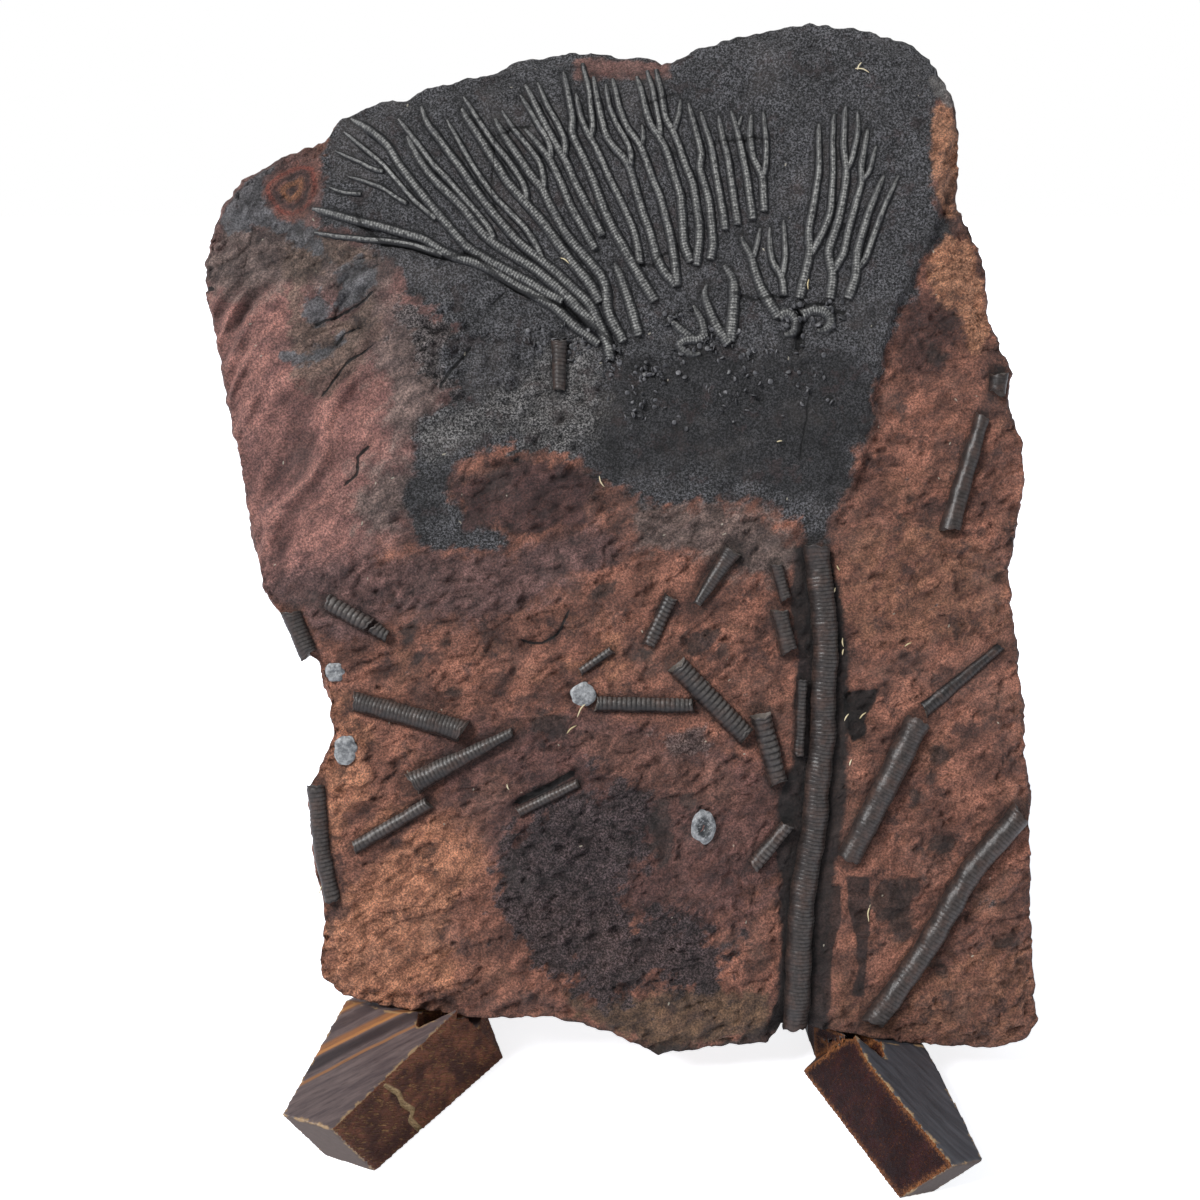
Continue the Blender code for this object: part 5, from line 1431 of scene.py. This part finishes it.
patch_group, given, wanted = new_group("frayed patch", [
    ("Under", "Color", None), ("Light", "Color", None), ("Dark", "Color", None),
    ("Distance", "Float", 0.0), ("Coarse", "Float", 0.0), ("Fine", "Float", 0.0),
    ("Mottle", "Float", 0.5), ("Bays", "Float", 3.0), ("Crumbs", "Float", 1.5),
    ("Softness", "Float", 1.0), ("Strength", "Float", 1.0),
], [("Colour", "Color"), ("Mask", "Float")])
bays = times(patch_group, given["Coarse"], given["Bays"])
crumbs = times(patch_group, given["Fine"], given["Crumbs"])
frayed = plus(patch_group, plus(patch_group, given["Distance"], bays), crumbs)
share = add(patch_group, "ShaderNodeMapRange", {
    "Value": frayed, "From Min": times(patch_group, given["Softness"], -1.0),
    "From Max": given["Softness"]}, interpolation_type="SMOOTHSTEP").outputs["Result"]
share = times(patch_group, share, given["Strength"])
own = mix_colours(patch_group, given["Mottle"], given["Dark"], given["Light"])
patch_group.links.new(mix_colours(patch_group, share, given["Under"], own), wanted["Colour"])
patch_group.links.new(share, wanted["Mask"])

crack_group, given, wanted = new_group("crack_and_shadow_line", [
    ("Side", "Float", 9.0), ("Half Width", "Float", 0.0), ("Wander", "Float", 0.0)],
    [("Mask", "Float")])
off = plus(crack_group, given["Side"], times(crack_group, given["Wander"], 0.3))
inside = minus(crack_group, given["Half Width"], math_node(crack_group, "ABSOLUTE", off))
crack_group.links.new(soft_threshold(crack_group, inside, -0.1, 0.1), wanted["Mask"])

speck_group, given, wanted = new_group("bright specks", [
    ("Vector", "Vector", None), ("Cells per mm", "Float", 0.16), ("Size", "Float", 0.05),
    ("Share", "Float", 0.5)], [("Mask", "Float")])
cells = add(speck_group, "ShaderNodeTexVoronoi", {
    "Vector": given["Vector"], "Scale": given["Cells per mm"]})
chosen = add(speck_group, "ShaderNodeSeparateColor", {"Color": cells.outputs["Color"]}).outputs[0]
picked = math_node(speck_group, "LESS_THAN", chosen, given["Share"])
near = math_node(speck_group, "LESS_THAN", cells.outputs["Distance"], given["Size"])
speck_group.links.new(times(speck_group, picked, near), wanted["Mask"])


# Grit is fine noise that bumps a surface and tints it, darker in its pits: painted shade in the pits.
grit_group, given, wanted = new_group("grit", [
    ("Vector", "Vector", None), ("Scale", "Float", 1.0)], [("Height", "Float"), ("Shade", "Float")])
grains = noise_node(grit_group, given["Vector"], given["Scale"], 3, 0.7)
grit_group.links.new(grains, wanted["Height"])
grit_group.links.new(soft_threshold(grit_group, grains, 0.35, 0.65), wanted["Shade"])


def stretched(tree, vector, turn, scale):
    """Coordinates for a pattern that is turned in the bed and drawn out along its own x."""
    return add(tree, "ShaderNodeMapping", {
        "Vector": vector, "Rotation": (0, 0, math.radians(turn)), "Scale": scale},
        vector_type="TEXTURE").outputs["Vector"]


def tinted(tree, base, value, low, high):
    """Multiplies a colour by a grey that runs from low to high as value runs from 0 to 1."""
    grey = add(tree, "ShaderNodeMapRange", {"Value": value, "To Min": low, "To Max": high})
    return mix_colours(tree, 1.0, base, grey.outputs["Result"], "MULTIPLY")


# %% [markdown]
# ## The stone
#
# One material covers the whole slab. It starts from the red-brown ground and lays the patches over
# it in order, the stains last. Then come the marks that cross every patch: painted shade in the
# valleys of the mauve stone's folds, in low places and beside stems and arms, a painted highlight
# on high places, pits and bumps, cracks and painted shadow lines, and specks of dust and quartz.

# %% Stone material
PATCH_FINISH = [
    # name, light, dark, bays, crumbs, softness, strength
    ("dusk", "#93706a", "#5f4643", 4.0, 3.0, 5.0, 0.9),
    ("mid_dark", "#83635f", "#4c3636", 4.5, 2.5, 4.0, 0.85),
    ("mauve", "#bb8477", "#7f5852", 4.0, 2.5, 6.0, 1.0),
    ("orange", "#de9a76", "#a36a50", 4.0, 2.0, 3.0, 0.9),
    ("warm", "#a67358", "#754b3d", 4.0, 2.0, 4.0, 0.8),
    ("maroon", "#7a5551", "#442d2c", 6.0, 5.0, 6.0, 0.75),
    ("umber_grey", "#927d74", "#4f4340", 6.0, 4.0, 4.0, 0.9),
    ("tan", "#92796a", "#5a4b42", 3.0, 3.0, 1.5, 0.85),
    ("ochre", "#81644a", "#4a3a30", 3.0, 2.2, 2.0, 0.9),
    ("grey_hash", "#857d7b", "#191516", 8.0, 8.0, 2.0, 0.92),
    ("stain", "#5b4d4f", "#0f0c0c", 7.0, 7.0, 2.6, 0.92),
    ("wine", "#53322d", "#332020", 3.0, 2.0, 2.5, 0.7),
    ("stem_channel_shade", "#221b1a", "#100d0d", 0.8, 0.8, 0.9, 0.95),
    ("legs", "#3a2a26", "#261b19", 0.2, 0.25, 0.35, 0.9),
    ("hollow", "#1d1716", "#121010", 0.3, 0.3, 0.4, 0.95),
    ("black_bed", "#666568", "#121113", 2.4, 2.2, 1.4, 1.0),
    ("black_shade", "#343335", "#0c0c0e", 4.0, 3.0, 4.0, 0.85),
    ("silver", "#989490", "#2a2829", 4.0, 3.0, 4.0, 0.62),
    ("red_island", "#63423d", "#341f20", 2.0, 1.6, 1.2, 0.92),
    ("slate", "#77777a", "#3f4043", 1.8, 2.0, 0.8, 0.92),
    ("rust_eye", "#8f5a4a", "#54403c", 2.0, 1.5, 1.0, 0.85),
    ("bright_orange", "#d99c78", "#a46c4e", 1.6, 1.6, 1.0, 0.95),
    ("pale", "#918d8a", "#66605d", 1.0, 1.0, 0.8, 0.9),
    ("rear_pink", "#9a7268", "#775049", 1.0, 1.0, 1.0, 0.95),
    ("foot_rim", "#3f3733", "#241f1e", 1.6, 1.2, 1.0, 0.8),
    ("crumbs", "#7d7571", "#2f2826", 2.0, 3.5, 1.5, 0.55),
    ("blotch", "#40342f", "#221c1b", 1.2, 1.8, 1.0, 0.8),
]

# Rings of rust inside the rust eye: distance in from its border, half width, colour.
RUST_RINGS = [
    (1.6, 1.1, "#8a4638"), (3.4, 0.8, "#4a302c"), (5.4, 1.3, "#a06a48"), (8.0, 1.2, "#33211f")]

FINE_GRAINED = ("black_bed", "black_shade", "silver", "grey_hash", "stain", "crumbs")

stone, tree, shader = new_material("bedded stone", 0.7)
bed = bed_coordinates(tree)
coarse = signed_noise(tree, bed, 0.075, 5)
slanted = stretched(tree, bed, 38, (2.0, 1.0, 1.0))
medium = signed_noise(tree, slanted, 0.30, 6, 0.66)
clouds = signed_noise(tree, slanted, 0.13, 6, 0.6)
grit = noise_node(tree, bed, 1.7, 3, 0.7)
dust = noise_node(tree, bed, 0.05, 3, 0.6)
film = noise_node(tree, bed, 0.11, 8, 0.72)
mottle = soft_threshold(tree, medium, -0.9, 0.9)
speckle = soft_threshold(tree, grit, 0.38, 0.64)
ground = mix_colours(tree, soft_threshold(tree, clouds, -0.8, 0.8), colour("#5c3a31"), colour("#a56d58"))
sandy = times(tree, soft_threshold(tree, coarse, 0.0, 1.0), 0.8)
ground = mix_colours(tree, sandy, ground, colour("#8b5f4a"))
ground = mix_colours(tree, times(tree, mottle, 0.4), ground, colour("#ae7661"))
shade = ground
masks = {}
for name, light, dark, bays, crumbs, softness, strength in PATCH_FINISH:
    result = use_group(tree, patch_group, {
        "Under": shade, "Light": colour(light), "Dark": colour(dark), "Distance": mark(tree, name),
        "Coarse": coarse, "Fine": medium, "Mottle": speckle if name in FINE_GRAINED else mottle,
        "Bays": bays, "Crumbs": crumbs,
        "Softness": softness, "Strength": strength})
    shade, masks[name] = result["Colour"], result["Mask"]

eye = plus(tree, mark(tree, "rust_eye"), times(tree, medium, 0.35))
for from_rim, half_width, code in RUST_RINGS:
    off = math_node(tree, "ABSOLUTE", minus(tree, eye, from_rim))
    ring = times(tree, soft_threshold(tree, off, half_width, 0.2), 0.8)
    shade = mix_colours(tree, ring, shade, colour(code))

# Painted shade in the valleys of the mauve stone's folds, which the geometry also has.
painted_fold_shade = soft_threshold(tree, mark(tree, "ridge"), -0.6, 0.9)
painted_fold_shade = times(tree, minus(tree, 1.0, painted_fold_shade), masks["mauve"])
painted_fold_shade = times(tree, painted_fold_shade, minus(tree, 1.0, masks["black_bed"]))
shade = mix_colours(tree, times(tree, painted_fold_shade, 0.75), shade, colour("#5a3a39"))
dirt = times(tree, soft_threshold(tree, film, 0.54, 0.62), 0.62)
dirt = times(tree, dirt, minus(tree, 1.0, masks["mauve"]))
shade = mix_colours(tree, dirt, shade, colour("#3a2b2a"))
# Painted shade and highlight: the low places of the fine relief darker, the high ones lighter.
shade = tinted(tree, shade, soft_threshold(tree, mark(tree, "height"), -1.2, 1.0), 0.62, 1.12)
# Painted shade beside stems and arms, darkest right next to them.
shade = tinted(tree, shade, soft_threshold(tree, mark(tree, "beside_growth"), -0.2, 1.3), 0.55, 1.0)
shade = tinted(tree, shade, speckle, 0.54, 1.54)
shade = tinted(tree, shade, soft_threshold(tree, clouds, -1.0, 1.0), 0.84, 1.28)
shade = mix_colours(tree, times(tree, soft_threshold(tree, dust, 0.5, 0.7), 0.12), shade, colour("#8d817b"))
# Cracks and shadow lines painted near-black: partly the cracks' own dark, partly painted shade.
crack_and_shadow_line = use_group(tree, crack_group, {
    "Side": mark(tree, "crack_side"), "Half Width": mark(tree, "crack_width"), "Wander": medium})["Mask"]
shade = mix_colours(tree, times(tree, crack_and_shadow_line, 0.92), shade, colour("#0e0d0d"))
for turn, share in ((20, 0.34), (-55, 0.26), (80, 0.3)):
    dashes = use_group(tree, speck_group, {
        "Vector": stretched(tree, bed, turn, (2.6, 1, 1)), "Cells per mm": 0.19, "Size": 0.045,
        "Share": share})["Mask"]
    shade = mix_colours(tree, times(tree, dashes, 0.8), shade, colour("#cfc6b2"))
tree.links.new(shade, shader.inputs["Base Color"])
pits = noise_node(tree, bed, 0.3, 8, 0.72, 0.4)
pits = minus(tree, pits, times(tree, crack_and_shadow_line, 0.5))
bump = add(tree, "ShaderNodeBump", {"Height": pits, "Strength": 1.0, "Distance": 5.8 * MM})
tree.links.new(bump.outputs["Normal"], shader.inputs["Normal"])
slab.data.materials.append(stone)

# %% [markdown]
# ## The fossils
#
# The arms and stems are the same black as the bed, but paler where they stand out: the arms' crests
# are pale grey, a painted highlight that is partly pale wear, and each stem's rings are painted
# lighter along one side as a highlight. So the colour follows the marks stored with each rod: crest,
# lit side, joint and cut end. A joint is a narrow dark line wherever the length along the rod is a
# whole number of plates.

# %% Fossil materials
joint_group, given, wanted = new_group("joints", [
    ("Along", "Float", 0.0), ("Pitch", "Float", 1.0), ("Width", "Float", 0.4)], [("Mask", "Float")])
plate = math_node(joint_group, "DIVIDE", given["Along"], given["Pitch"])
part_way = math_node(joint_group, "FRACT", plate)
from_middle = math_node(joint_group, "ABSOLUTE", minus(joint_group, part_way, 0.5))
edge = minus(joint_group, 0.5, times(joint_group, given["Width"], 0.5))
joint_mask = add(joint_group, "ShaderNodeMapRange", {
    "Value": from_middle, "From Min": minus(joint_group, edge, 0.1), "From Max": edge},
    interpolation_type="SMOOTHSTEP").outputs["Result"]
joint_group.links.new(joint_mask, wanted["Mask"])

fossil, tree, shader = new_material("fossil arm", 0.5)
bed = bed_coordinates(tree)
cloud = signed_noise(tree, bed, 0.35, 4)
grit = use_group(tree, grit_group, {"Vector": bed, "Scale": 1.1})
# Painted highlight along the arms' crests, partly pale wear: pale grey over near-black flanks.
crest_highlight_and_wear = times(tree, mark(tree, "crest_highlight_and_wear"), soft_threshold(tree, grit["Height"], 0.3, 0.6))
joint = use_group(tree, joint_group, {
    "Along": mark(tree, "along"), "Pitch": ARM_PITCH, "Width": 0.35})["Mask"]
stout = soft_threshold(tree, mark(tree, "thickness"), 0.5, 1.1)
body = mix_colours(tree, crest_highlight_and_wear, colour("#1a1a1c"), colour("#908f8b"))
body = mix_colours(tree, times(tree, soft_threshold(tree, cloud, 0.0, 1.2), 0.6), body, colour("#47474a"))
joint = times(tree, joint, plus(tree, times(tree, stout, 0.55), 0.15))
body = mix_colours(tree, joint, body, colour("#1b1b1d"))
# The same near-black lines over the arms: partly the cracks' own dark, partly painted shade.
crack_and_shadow_line = use_group(tree, crack_group, {
    "Side": mark(tree, "crack_side"), "Half Width": mark(tree, "crack_width"), "Wander": cloud})["Mask"]
body = mix_colours(tree, times(tree, crack_and_shadow_line, 0.92), body, colour("#0e0d0d"))
body = tinted(tree, body, grit["Shade"], 0.75, 1.2)
tree.links.new(body, shader.inputs["Base Color"])
height = minus(tree, grit["Height"], times(tree, joint, 0.8))
bump = add(tree, "ShaderNodeBump", {"Height": height, "Strength": 0.6, "Distance": 0.3 * MM})
tree.links.new(bump.outputs["Normal"], shader.inputs["Normal"])
arms.data.materials.append(fossil)

stem_stone, tree, shader = new_material("fossil stem", 0.38)
shader.inputs["Specular IOR Level"].default_value = 0.35
bed = bed_coordinates(tree)
cloud = signed_noise(tree, bed, 0.22, 5)
grit = use_group(tree, grit_group, {"Vector": bed, "Scale": 1.0})
ring = minus(tree, 1.0, mark(tree, "joint"))
# Painted highlight: the rings paler along one side of each stem, as if lit from there.
highlight_and_pale_edge = times(tree, ring, soft_threshold(tree, mark(tree, "lit_side"), -0.9, 0.9))
body = mix_colours(tree, mark(tree, "paleness"), colour("#131011"), colour("#3c3431"))
bright_ring = plus(tree, times(tree, mark(tree, "bite"), 2.0), 0.16)
body = mix_colours(tree, times(tree, highlight_and_pale_edge, bright_ring), body, colour("#7b7672"))
body = mix_colours(tree, times(tree, soft_threshold(tree, cloud, -0.4, 1.0), 0.6), body, colour("#4a3831"))
ringed = plus(tree, times(tree, mark(tree, "bite"), 2.6), 0.14)
body = mix_colours(tree, times(tree, mark(tree, "joint"), ringed), body, colour("#0f0d0d"))
body = mix_colours(tree, times(tree, mark(tree, "cut_end"), 0.35), body, colour("#77716a"))
body = tinted(tree, body, grit["Shade"], 0.7, 1.3)
tree.links.new(body, shader.inputs["Base Color"])
bump = add(tree, "ShaderNodeBump", {"Height": grit["Height"], "Strength": 0.5, "Distance": 0.3 * MM})
tree.links.new(bump.outputs["Normal"], shader.inputs["Normal"])
stems.data.materials.append(stem_stone)

plate_stone, tree, shader = new_material("loose plate", 0.5)
bed = bed_coordinates(tree)
grit = use_group(tree, grit_group, {"Vector": bed, "Scale": 1.2})
body = mix_colours(tree, mark(tree, "shade"), colour("#29292b"), colour("#5f5e60"))
body = tinted(tree, body, grit["Shade"], 0.7, 1.25)
tree.links.new(body, shader.inputs["Base Color"])
plates.data.materials.append(plate_stone)

pale_stone, tree, shader = new_material("pale ossicle", 0.45)
bed = bed_coordinates(tree)
speck = noise_node(tree, bed, 0.7, 5, 0.7)
body = mix_colours(tree, soft_threshold(tree, speck, 0.35, 0.65), colour("#55575a"), colour("#98999a"))
dark_middle = times(tree, soft_threshold(tree, mark(tree, "rim"), 0.78, 0.5), mark(tree, "hollow"))
dark_middle = times(tree, dark_middle, soft_threshold(tree, speck, 0.66, 0.5))
body = mix_colours(tree, dark_middle, body, colour("#2a2c2e"))
tree.links.new(body, shader.inputs["Base Color"])
bump = add(tree, "ShaderNodeBump", {"Height": speck, "Strength": 0.6, "Distance": 0.3 * MM})
tree.links.new(bump.outputs["Normal"], shader.inputs["Normal"])
ossicles.data.materials.append(pale_stone)

straw, tree, shader = new_material("dry straw", 0.6)
body = mix_colours(tree, mark(tree, "shade"), colour("#b7a578"), colour("#dccfae"))
fibres = noise_node(tree, bed_coordinates(tree), 2.0, 2)
tree.links.new(tinted(tree, body, fibres, 0.7, 1.2), shader.inputs["Base Color"])
straws.data.materials.append(straw)

# %% [markdown]
# ## The wood
#
# The feet are sawn from dark heartwood with thin golden stripes. The tops are planed, with
# straight grain. The sides were sawn across and are rough, chocolate brown, with torn fibres that
# catch the light. So each foot has two materials, and the faces are told apart by the way they
# look.

# %% Wood materials
fibre_group, given, wanted = new_group("wood fibres", [
    ("Vector", "Vector", None), ("Turn", "Vector", None), ("Fibre Size", "Vector", None)],
    [("Fibres", "Float"), ("Pores", "Float")])
laid = add(fibre_group, "ShaderNodeMapping", {
    "Vector": given["Vector"], "Rotation": given["Turn"], "Scale": given["Fibre Size"]},
    vector_type="TEXTURE").outputs["Vector"]
fibre_group.links.new(noise_node(fibre_group, laid, 1.0, 5, 0.65), wanted["Fibres"])
pores = noise_node(fibre_group, laid, 3.3, 2, 0.5)
fibre_group.links.new(soft_threshold(fibre_group, pores, 0.6, 0.7), wanted["Pores"])


def working_coordinates(tree):
    """Millimetres from the bed's own origin, in upright directions."""
    source = add(tree, "ShaderNodeTexCoord").outputs["Object"]
    mapping = add(tree, "ShaderNodeMapping", {
        "Vector": source, "Location": (-SHIFT_X, -SHIFT_Y, 0), "Scale": (1 / MM, 1 / MM, 1 / MM)})
    return mapping.outputs["Vector"]


def planed_wood(name, grain_turn, base_light, base_dark, stripes):
    """Planed wood whose stripes lie at given distances across the grain: each stripe is
    (distance, half width, colour, strength)."""
    material, tree, shader = new_material(name, 0.34)
    place_mm = working_coordinates(tree)
    wood = use_group(tree, fibre_group, {
        "Vector": place_mm, "Turn": (0, 0, grain_turn), "Fibre Size": (26, 1.3, 1.3)})
    fibres = soft_threshold(tree, wood["Fibres"], 0.25, 0.75)
    body = mix_colours(tree, fibres, colour(base_dark), colour(base_light))
    parts = add(tree, "ShaderNodeSeparateXYZ", {"Vector": place_mm}).outputs
    across = plus(tree, times(tree, parts[0], -math.sin(grain_turn)),
                       times(tree, parts[1], math.cos(grain_turn)))
    wander = signed_noise(tree, place_mm, 0.05, 2)
    across = plus(tree, across, times(tree, wander, 0.3))
    for distance, half_width, code, strength in stripes:
        off = math_node(tree, "ABSOLUTE", minus(tree, across, distance))
        stripe = soft_threshold(tree, off, half_width, half_width * 0.35)
        stripe = times(tree, stripe, strength)
        body = mix_colours(tree, stripe, body, colour(code))
    body = mix_colours(tree, times(tree, wood["Pores"], 0.35), body, colour("#241b18"))
    body = mix_colours(tree, times(tree, mark(tree, "toe"), 0.75), body, colour("#564840"))
    fray = plus(tree, mark(tree, "rim"), signed_noise(tree, place_mm, 0.35, 3))
    highlight_and_pale_edge = times(tree, soft_threshold(tree, fray, 0.7, -0.1), 0.65)
    body = mix_colours(tree, highlight_and_pale_edge, body, colour("#a98a62"))
    tree.links.new(body, shader.inputs["Base Color"])
    matt = plus(tree, times(tree, mark(tree, "toe"), 0.5), 0.34)
    tree.links.new(matt, shader.inputs["Roughness"])
    height = plus(tree, wood["Fibres"], noise_node(tree, place_mm, 0.4, 3))
    bump = add(tree, "ShaderNodeBump", {"Height": height, "Strength": 0.3, "Distance": 0.3 * MM})
    tree.links.new(bump.outputs["Normal"], shader.inputs["Normal"])
    return material


def sawn_wood(name, light, dark, fibre, frame_width, frame_colour):
    """Rough sawn wood: a dark middle, a lighter frame beside the edges, bands of darker
    growth, and short torn fibres that catch the light."""
    material, tree, shader = new_material(name, 0.55)
    shader.inputs["Specular IOR Level"].default_value = 0.2
    place_mm = working_coordinates(tree)
    wood = use_group(tree, fibre_group, {
        "Vector": place_mm, "Turn": (0.4, 0.6, 0.9), "Fibre Size": (2.2, 0.5, 0.5)})
    growth = use_group(tree, fibre_group, {
        "Vector": place_mm, "Turn": (0.2, 1.2, 0.6), "Fibre Size": (60, 9, 40)})
    blotches = signed_noise(tree, place_mm, 0.16, 5)
    body = mix_colours(tree, soft_threshold(tree, blotches, -0.7, 0.9), colour(dark), colour(light))
    body = mix_colours(tree, times(tree, soft_threshold(tree, growth["Fibres"], 0.5, 0.6), 0.6),
                       body, colour(dark))
    ragged = plus(tree, mark(tree, "rim"), times(tree, signed_noise(tree, place_mm, 1.1, 4, 0.75), 1.3))
    frame_share = soft_threshold(tree, ragged, frame_width * 1.1, -0.4)
    body = mix_colours(tree, times(tree, frame_share, 0.8), body, colour(frame_colour))
    torn = soft_threshold(tree, wood["Fibres"], 0.5, 0.66)
    torn = times(tree, torn, soft_threshold(tree, blotches, -1.2, 0.6))
    body = mix_colours(tree, times(tree, torn, 0.75), body, colour(fibre))
    body = mix_colours(tree, soft_threshold(tree, mark(tree, "gap"), 1.0, 0.6), body, colour("#c9ab80"))
    tree.links.new(body, shader.inputs["Base Color"])
    height = plus(tree, wood["Fibres"], torn)
    bump = add(tree, "ShaderNodeBump", {"Height": height, "Strength": 0.9, "Distance": 0.8 * MM})
    tree.links.new(bump.outputs["Normal"], shader.inputs["Normal"])
    return material


# Stripes of the planed wood: (distance across the grain, half width, colour, strength).
LEFT_STRIPES = [
    (28.4, 0.7, "#94663f", 0.7), (32.3, 2.6, "#2a2426", 0.8), (36.2, 2.0, "#8e5f3c", 0.85),
    (35.3, 0.7, "#b37c48", 0.6), (42.0, 2.4, "#3c3233", 0.6), (47.2, 2.6, "#86593a", 0.75),
    (46.4, 0.8, "#b0804f", 0.5), (51.5, 2.4, "#4a3a34", 0.5), (54.5, 1.4, "#8f6440", 0.6),
    (8.0, 1.4, "#7a4a34", 0.5),
]
RIGHT_STRIPES = [(-70.0, 3.0, "#4a3c38", 0.4), (-83.0, 1.6, "#544036", 0.4)]
WOOD_FINISH = {
    "left_foot": (
        planed_wood("planed wood, left foot", 0.6, "#6a5c5a", "#463c3e", LEFT_STRIPES),
        sawn_wood("sawn wood, left foot", "#945c42", "#46271f", "#d3a06c", 2.0, "#7d4c36"), 1),
    "right_foot": (
        planed_wood("planed wood, right foot", -1.05, "#48484d", "#323236", RIGHT_STRIPES),
        sawn_wood("sawn wood, right foot", "#361517", "#1d0b0e", "#74452c", 1.9, "#9a6238"), -1),
}
for foot, node in zip(feet, ("left_foot", "right_foot")):
    planed, sawn, inner_side = WOOD_FINISH[node]
    foot.data.materials.clear()
    foot.data.materials.append(planed)
    foot.data.materials.append(sawn)
    faces = foot.data.polygons
    normals = np.empty(len(faces) * 3, np.float32)
    faces.foreach_get("normal", normals)
    middles = np.empty(len(faces) * 3, np.float32)
    faces.foreach_get("center", middles)
    corners = np.empty(len(foot.data.loops), np.int32)
    foot.data.loops.foreach_get("vertex_index", corners)
    starts = np.empty(len(faces), np.int32)
    faces.foreach_get("loop_start", starts)
    gaps = np.empty(len(foot.data.vertices), np.float32)
    foot.data.attributes["gap"].data.foreach_get("value", gaps)
    inner = (normals[0::3] * inner_side > 0.5) | (gaps[corners[starts]] < 1.4)
    inner &= middles[1::3] / MM - SHIFT_Y < SAWN_REACH
    faces.foreach_set("material_index", np.where(inner, 1, 0).astype(np.int32))
    foot.data.update()
    print(node, "has", int(inner.sum()), "sawn faces of", len(faces))

# %% [markdown]
# ## Camera, floor and light
#
# The camera looks straight at the leaning slab, from above. The floor is white and so
# is the room, as in a light tent, with one broad lamp at the upper left.

# %% Camera, floor and light
CAMERA_PLACE = Vector((SHIFT_X, SHIFT_Y - 282.2, 256.2)) * MM
CAMERA_TARGET = Vector((SHIFT_X, SHIFT_Y + 44.8, 137.2)) * MM
camera_data = bpy.data.cameras.new("camera")
camera_data.lens = 36
camera_data.sensor_width = 36
camera = bpy.data.objects.new("camera", camera_data)
camera.location = CAMERA_PLACE
camera.rotation_euler = (CAMERA_TARGET - CAMERA_PLACE).to_track_quat("-Z", "Y").to_euler()
bpy.context.scene.collection.objects.link(camera)
bpy.context.scene.camera = camera
bpy.context.scene.view_settings.view_transform = "Standard"

FLOOR_HALF = 6.0
floor_mesh = bpy.data.meshes.new("floor")
corners = [(FLOOR_HALF * x, FLOOR_HALF * y, 0) for x, y in ((-1, -1), (1, -1), (1, 1), (-1, 1))]
floor_mesh.from_pydata(corners, [], [(0, 1, 2, 3)])
floor = bpy.data.objects.new("floor", floor_mesh)
bpy.context.scene.collection.objects.link(floor)
paper, tree, shader = new_material("white table", 0.9)
shader.inputs["Base Color"].default_value = (0.86, 0.88, 0.96, 1)
shader.inputs["Emission Color"].default_value = (1, 1, 1, 1)
# The floor glows: fully for the camera, so that it reads as evenly white, and faintly for other rays, a
# glow that lights the pieces from below.
seen_first = add(tree, "ShaderNodeLightPath").outputs["Is Camera Ray"]
glow = plus(tree, times(tree, seen_first, 0.62), 0.15)
tree.links.new(glow, shader.inputs["Emission Strength"])
floor.data.materials.append(paper)

world = bpy.data.worlds.new("light tent")
bpy.context.scene.world = world
world.use_nodes = True
tree = world.node_tree
tree.nodes.clear()
room = add(tree, "ShaderNodeBackground", {"Color": (0.92, 0.96, 1, 1), "Strength": 0.38})
seen = add(tree, "ShaderNodeBackground", {"Color": (1, 1, 1, 1), "Strength": 1.0})
ray = add(tree, "ShaderNodeLightPath").outputs["Is Camera Ray"]
both = add(tree, "ShaderNodeMixShader", {0: ray, 1: room.outputs[0], 2: seen.outputs[0]})
add(tree, "ShaderNodeOutputWorld", {"Surface": both.outputs[0]})

key_data = bpy.data.lights.new("key", "SUN")
key_data.energy = 3.75
key_data.angle = math.radians(22)
key = bpy.data.objects.new("key", key_data)
key.rotation_euler = Vector((0.62, 0.36, -0.74)).to_track_quat("-Z", "Y").to_euler()
bpy.context.scene.collection.objects.link(key)

# %% Finish
for piece in [slab, arms, stems, ossicles, plates, straws] + feet:
    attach(piece, "root")
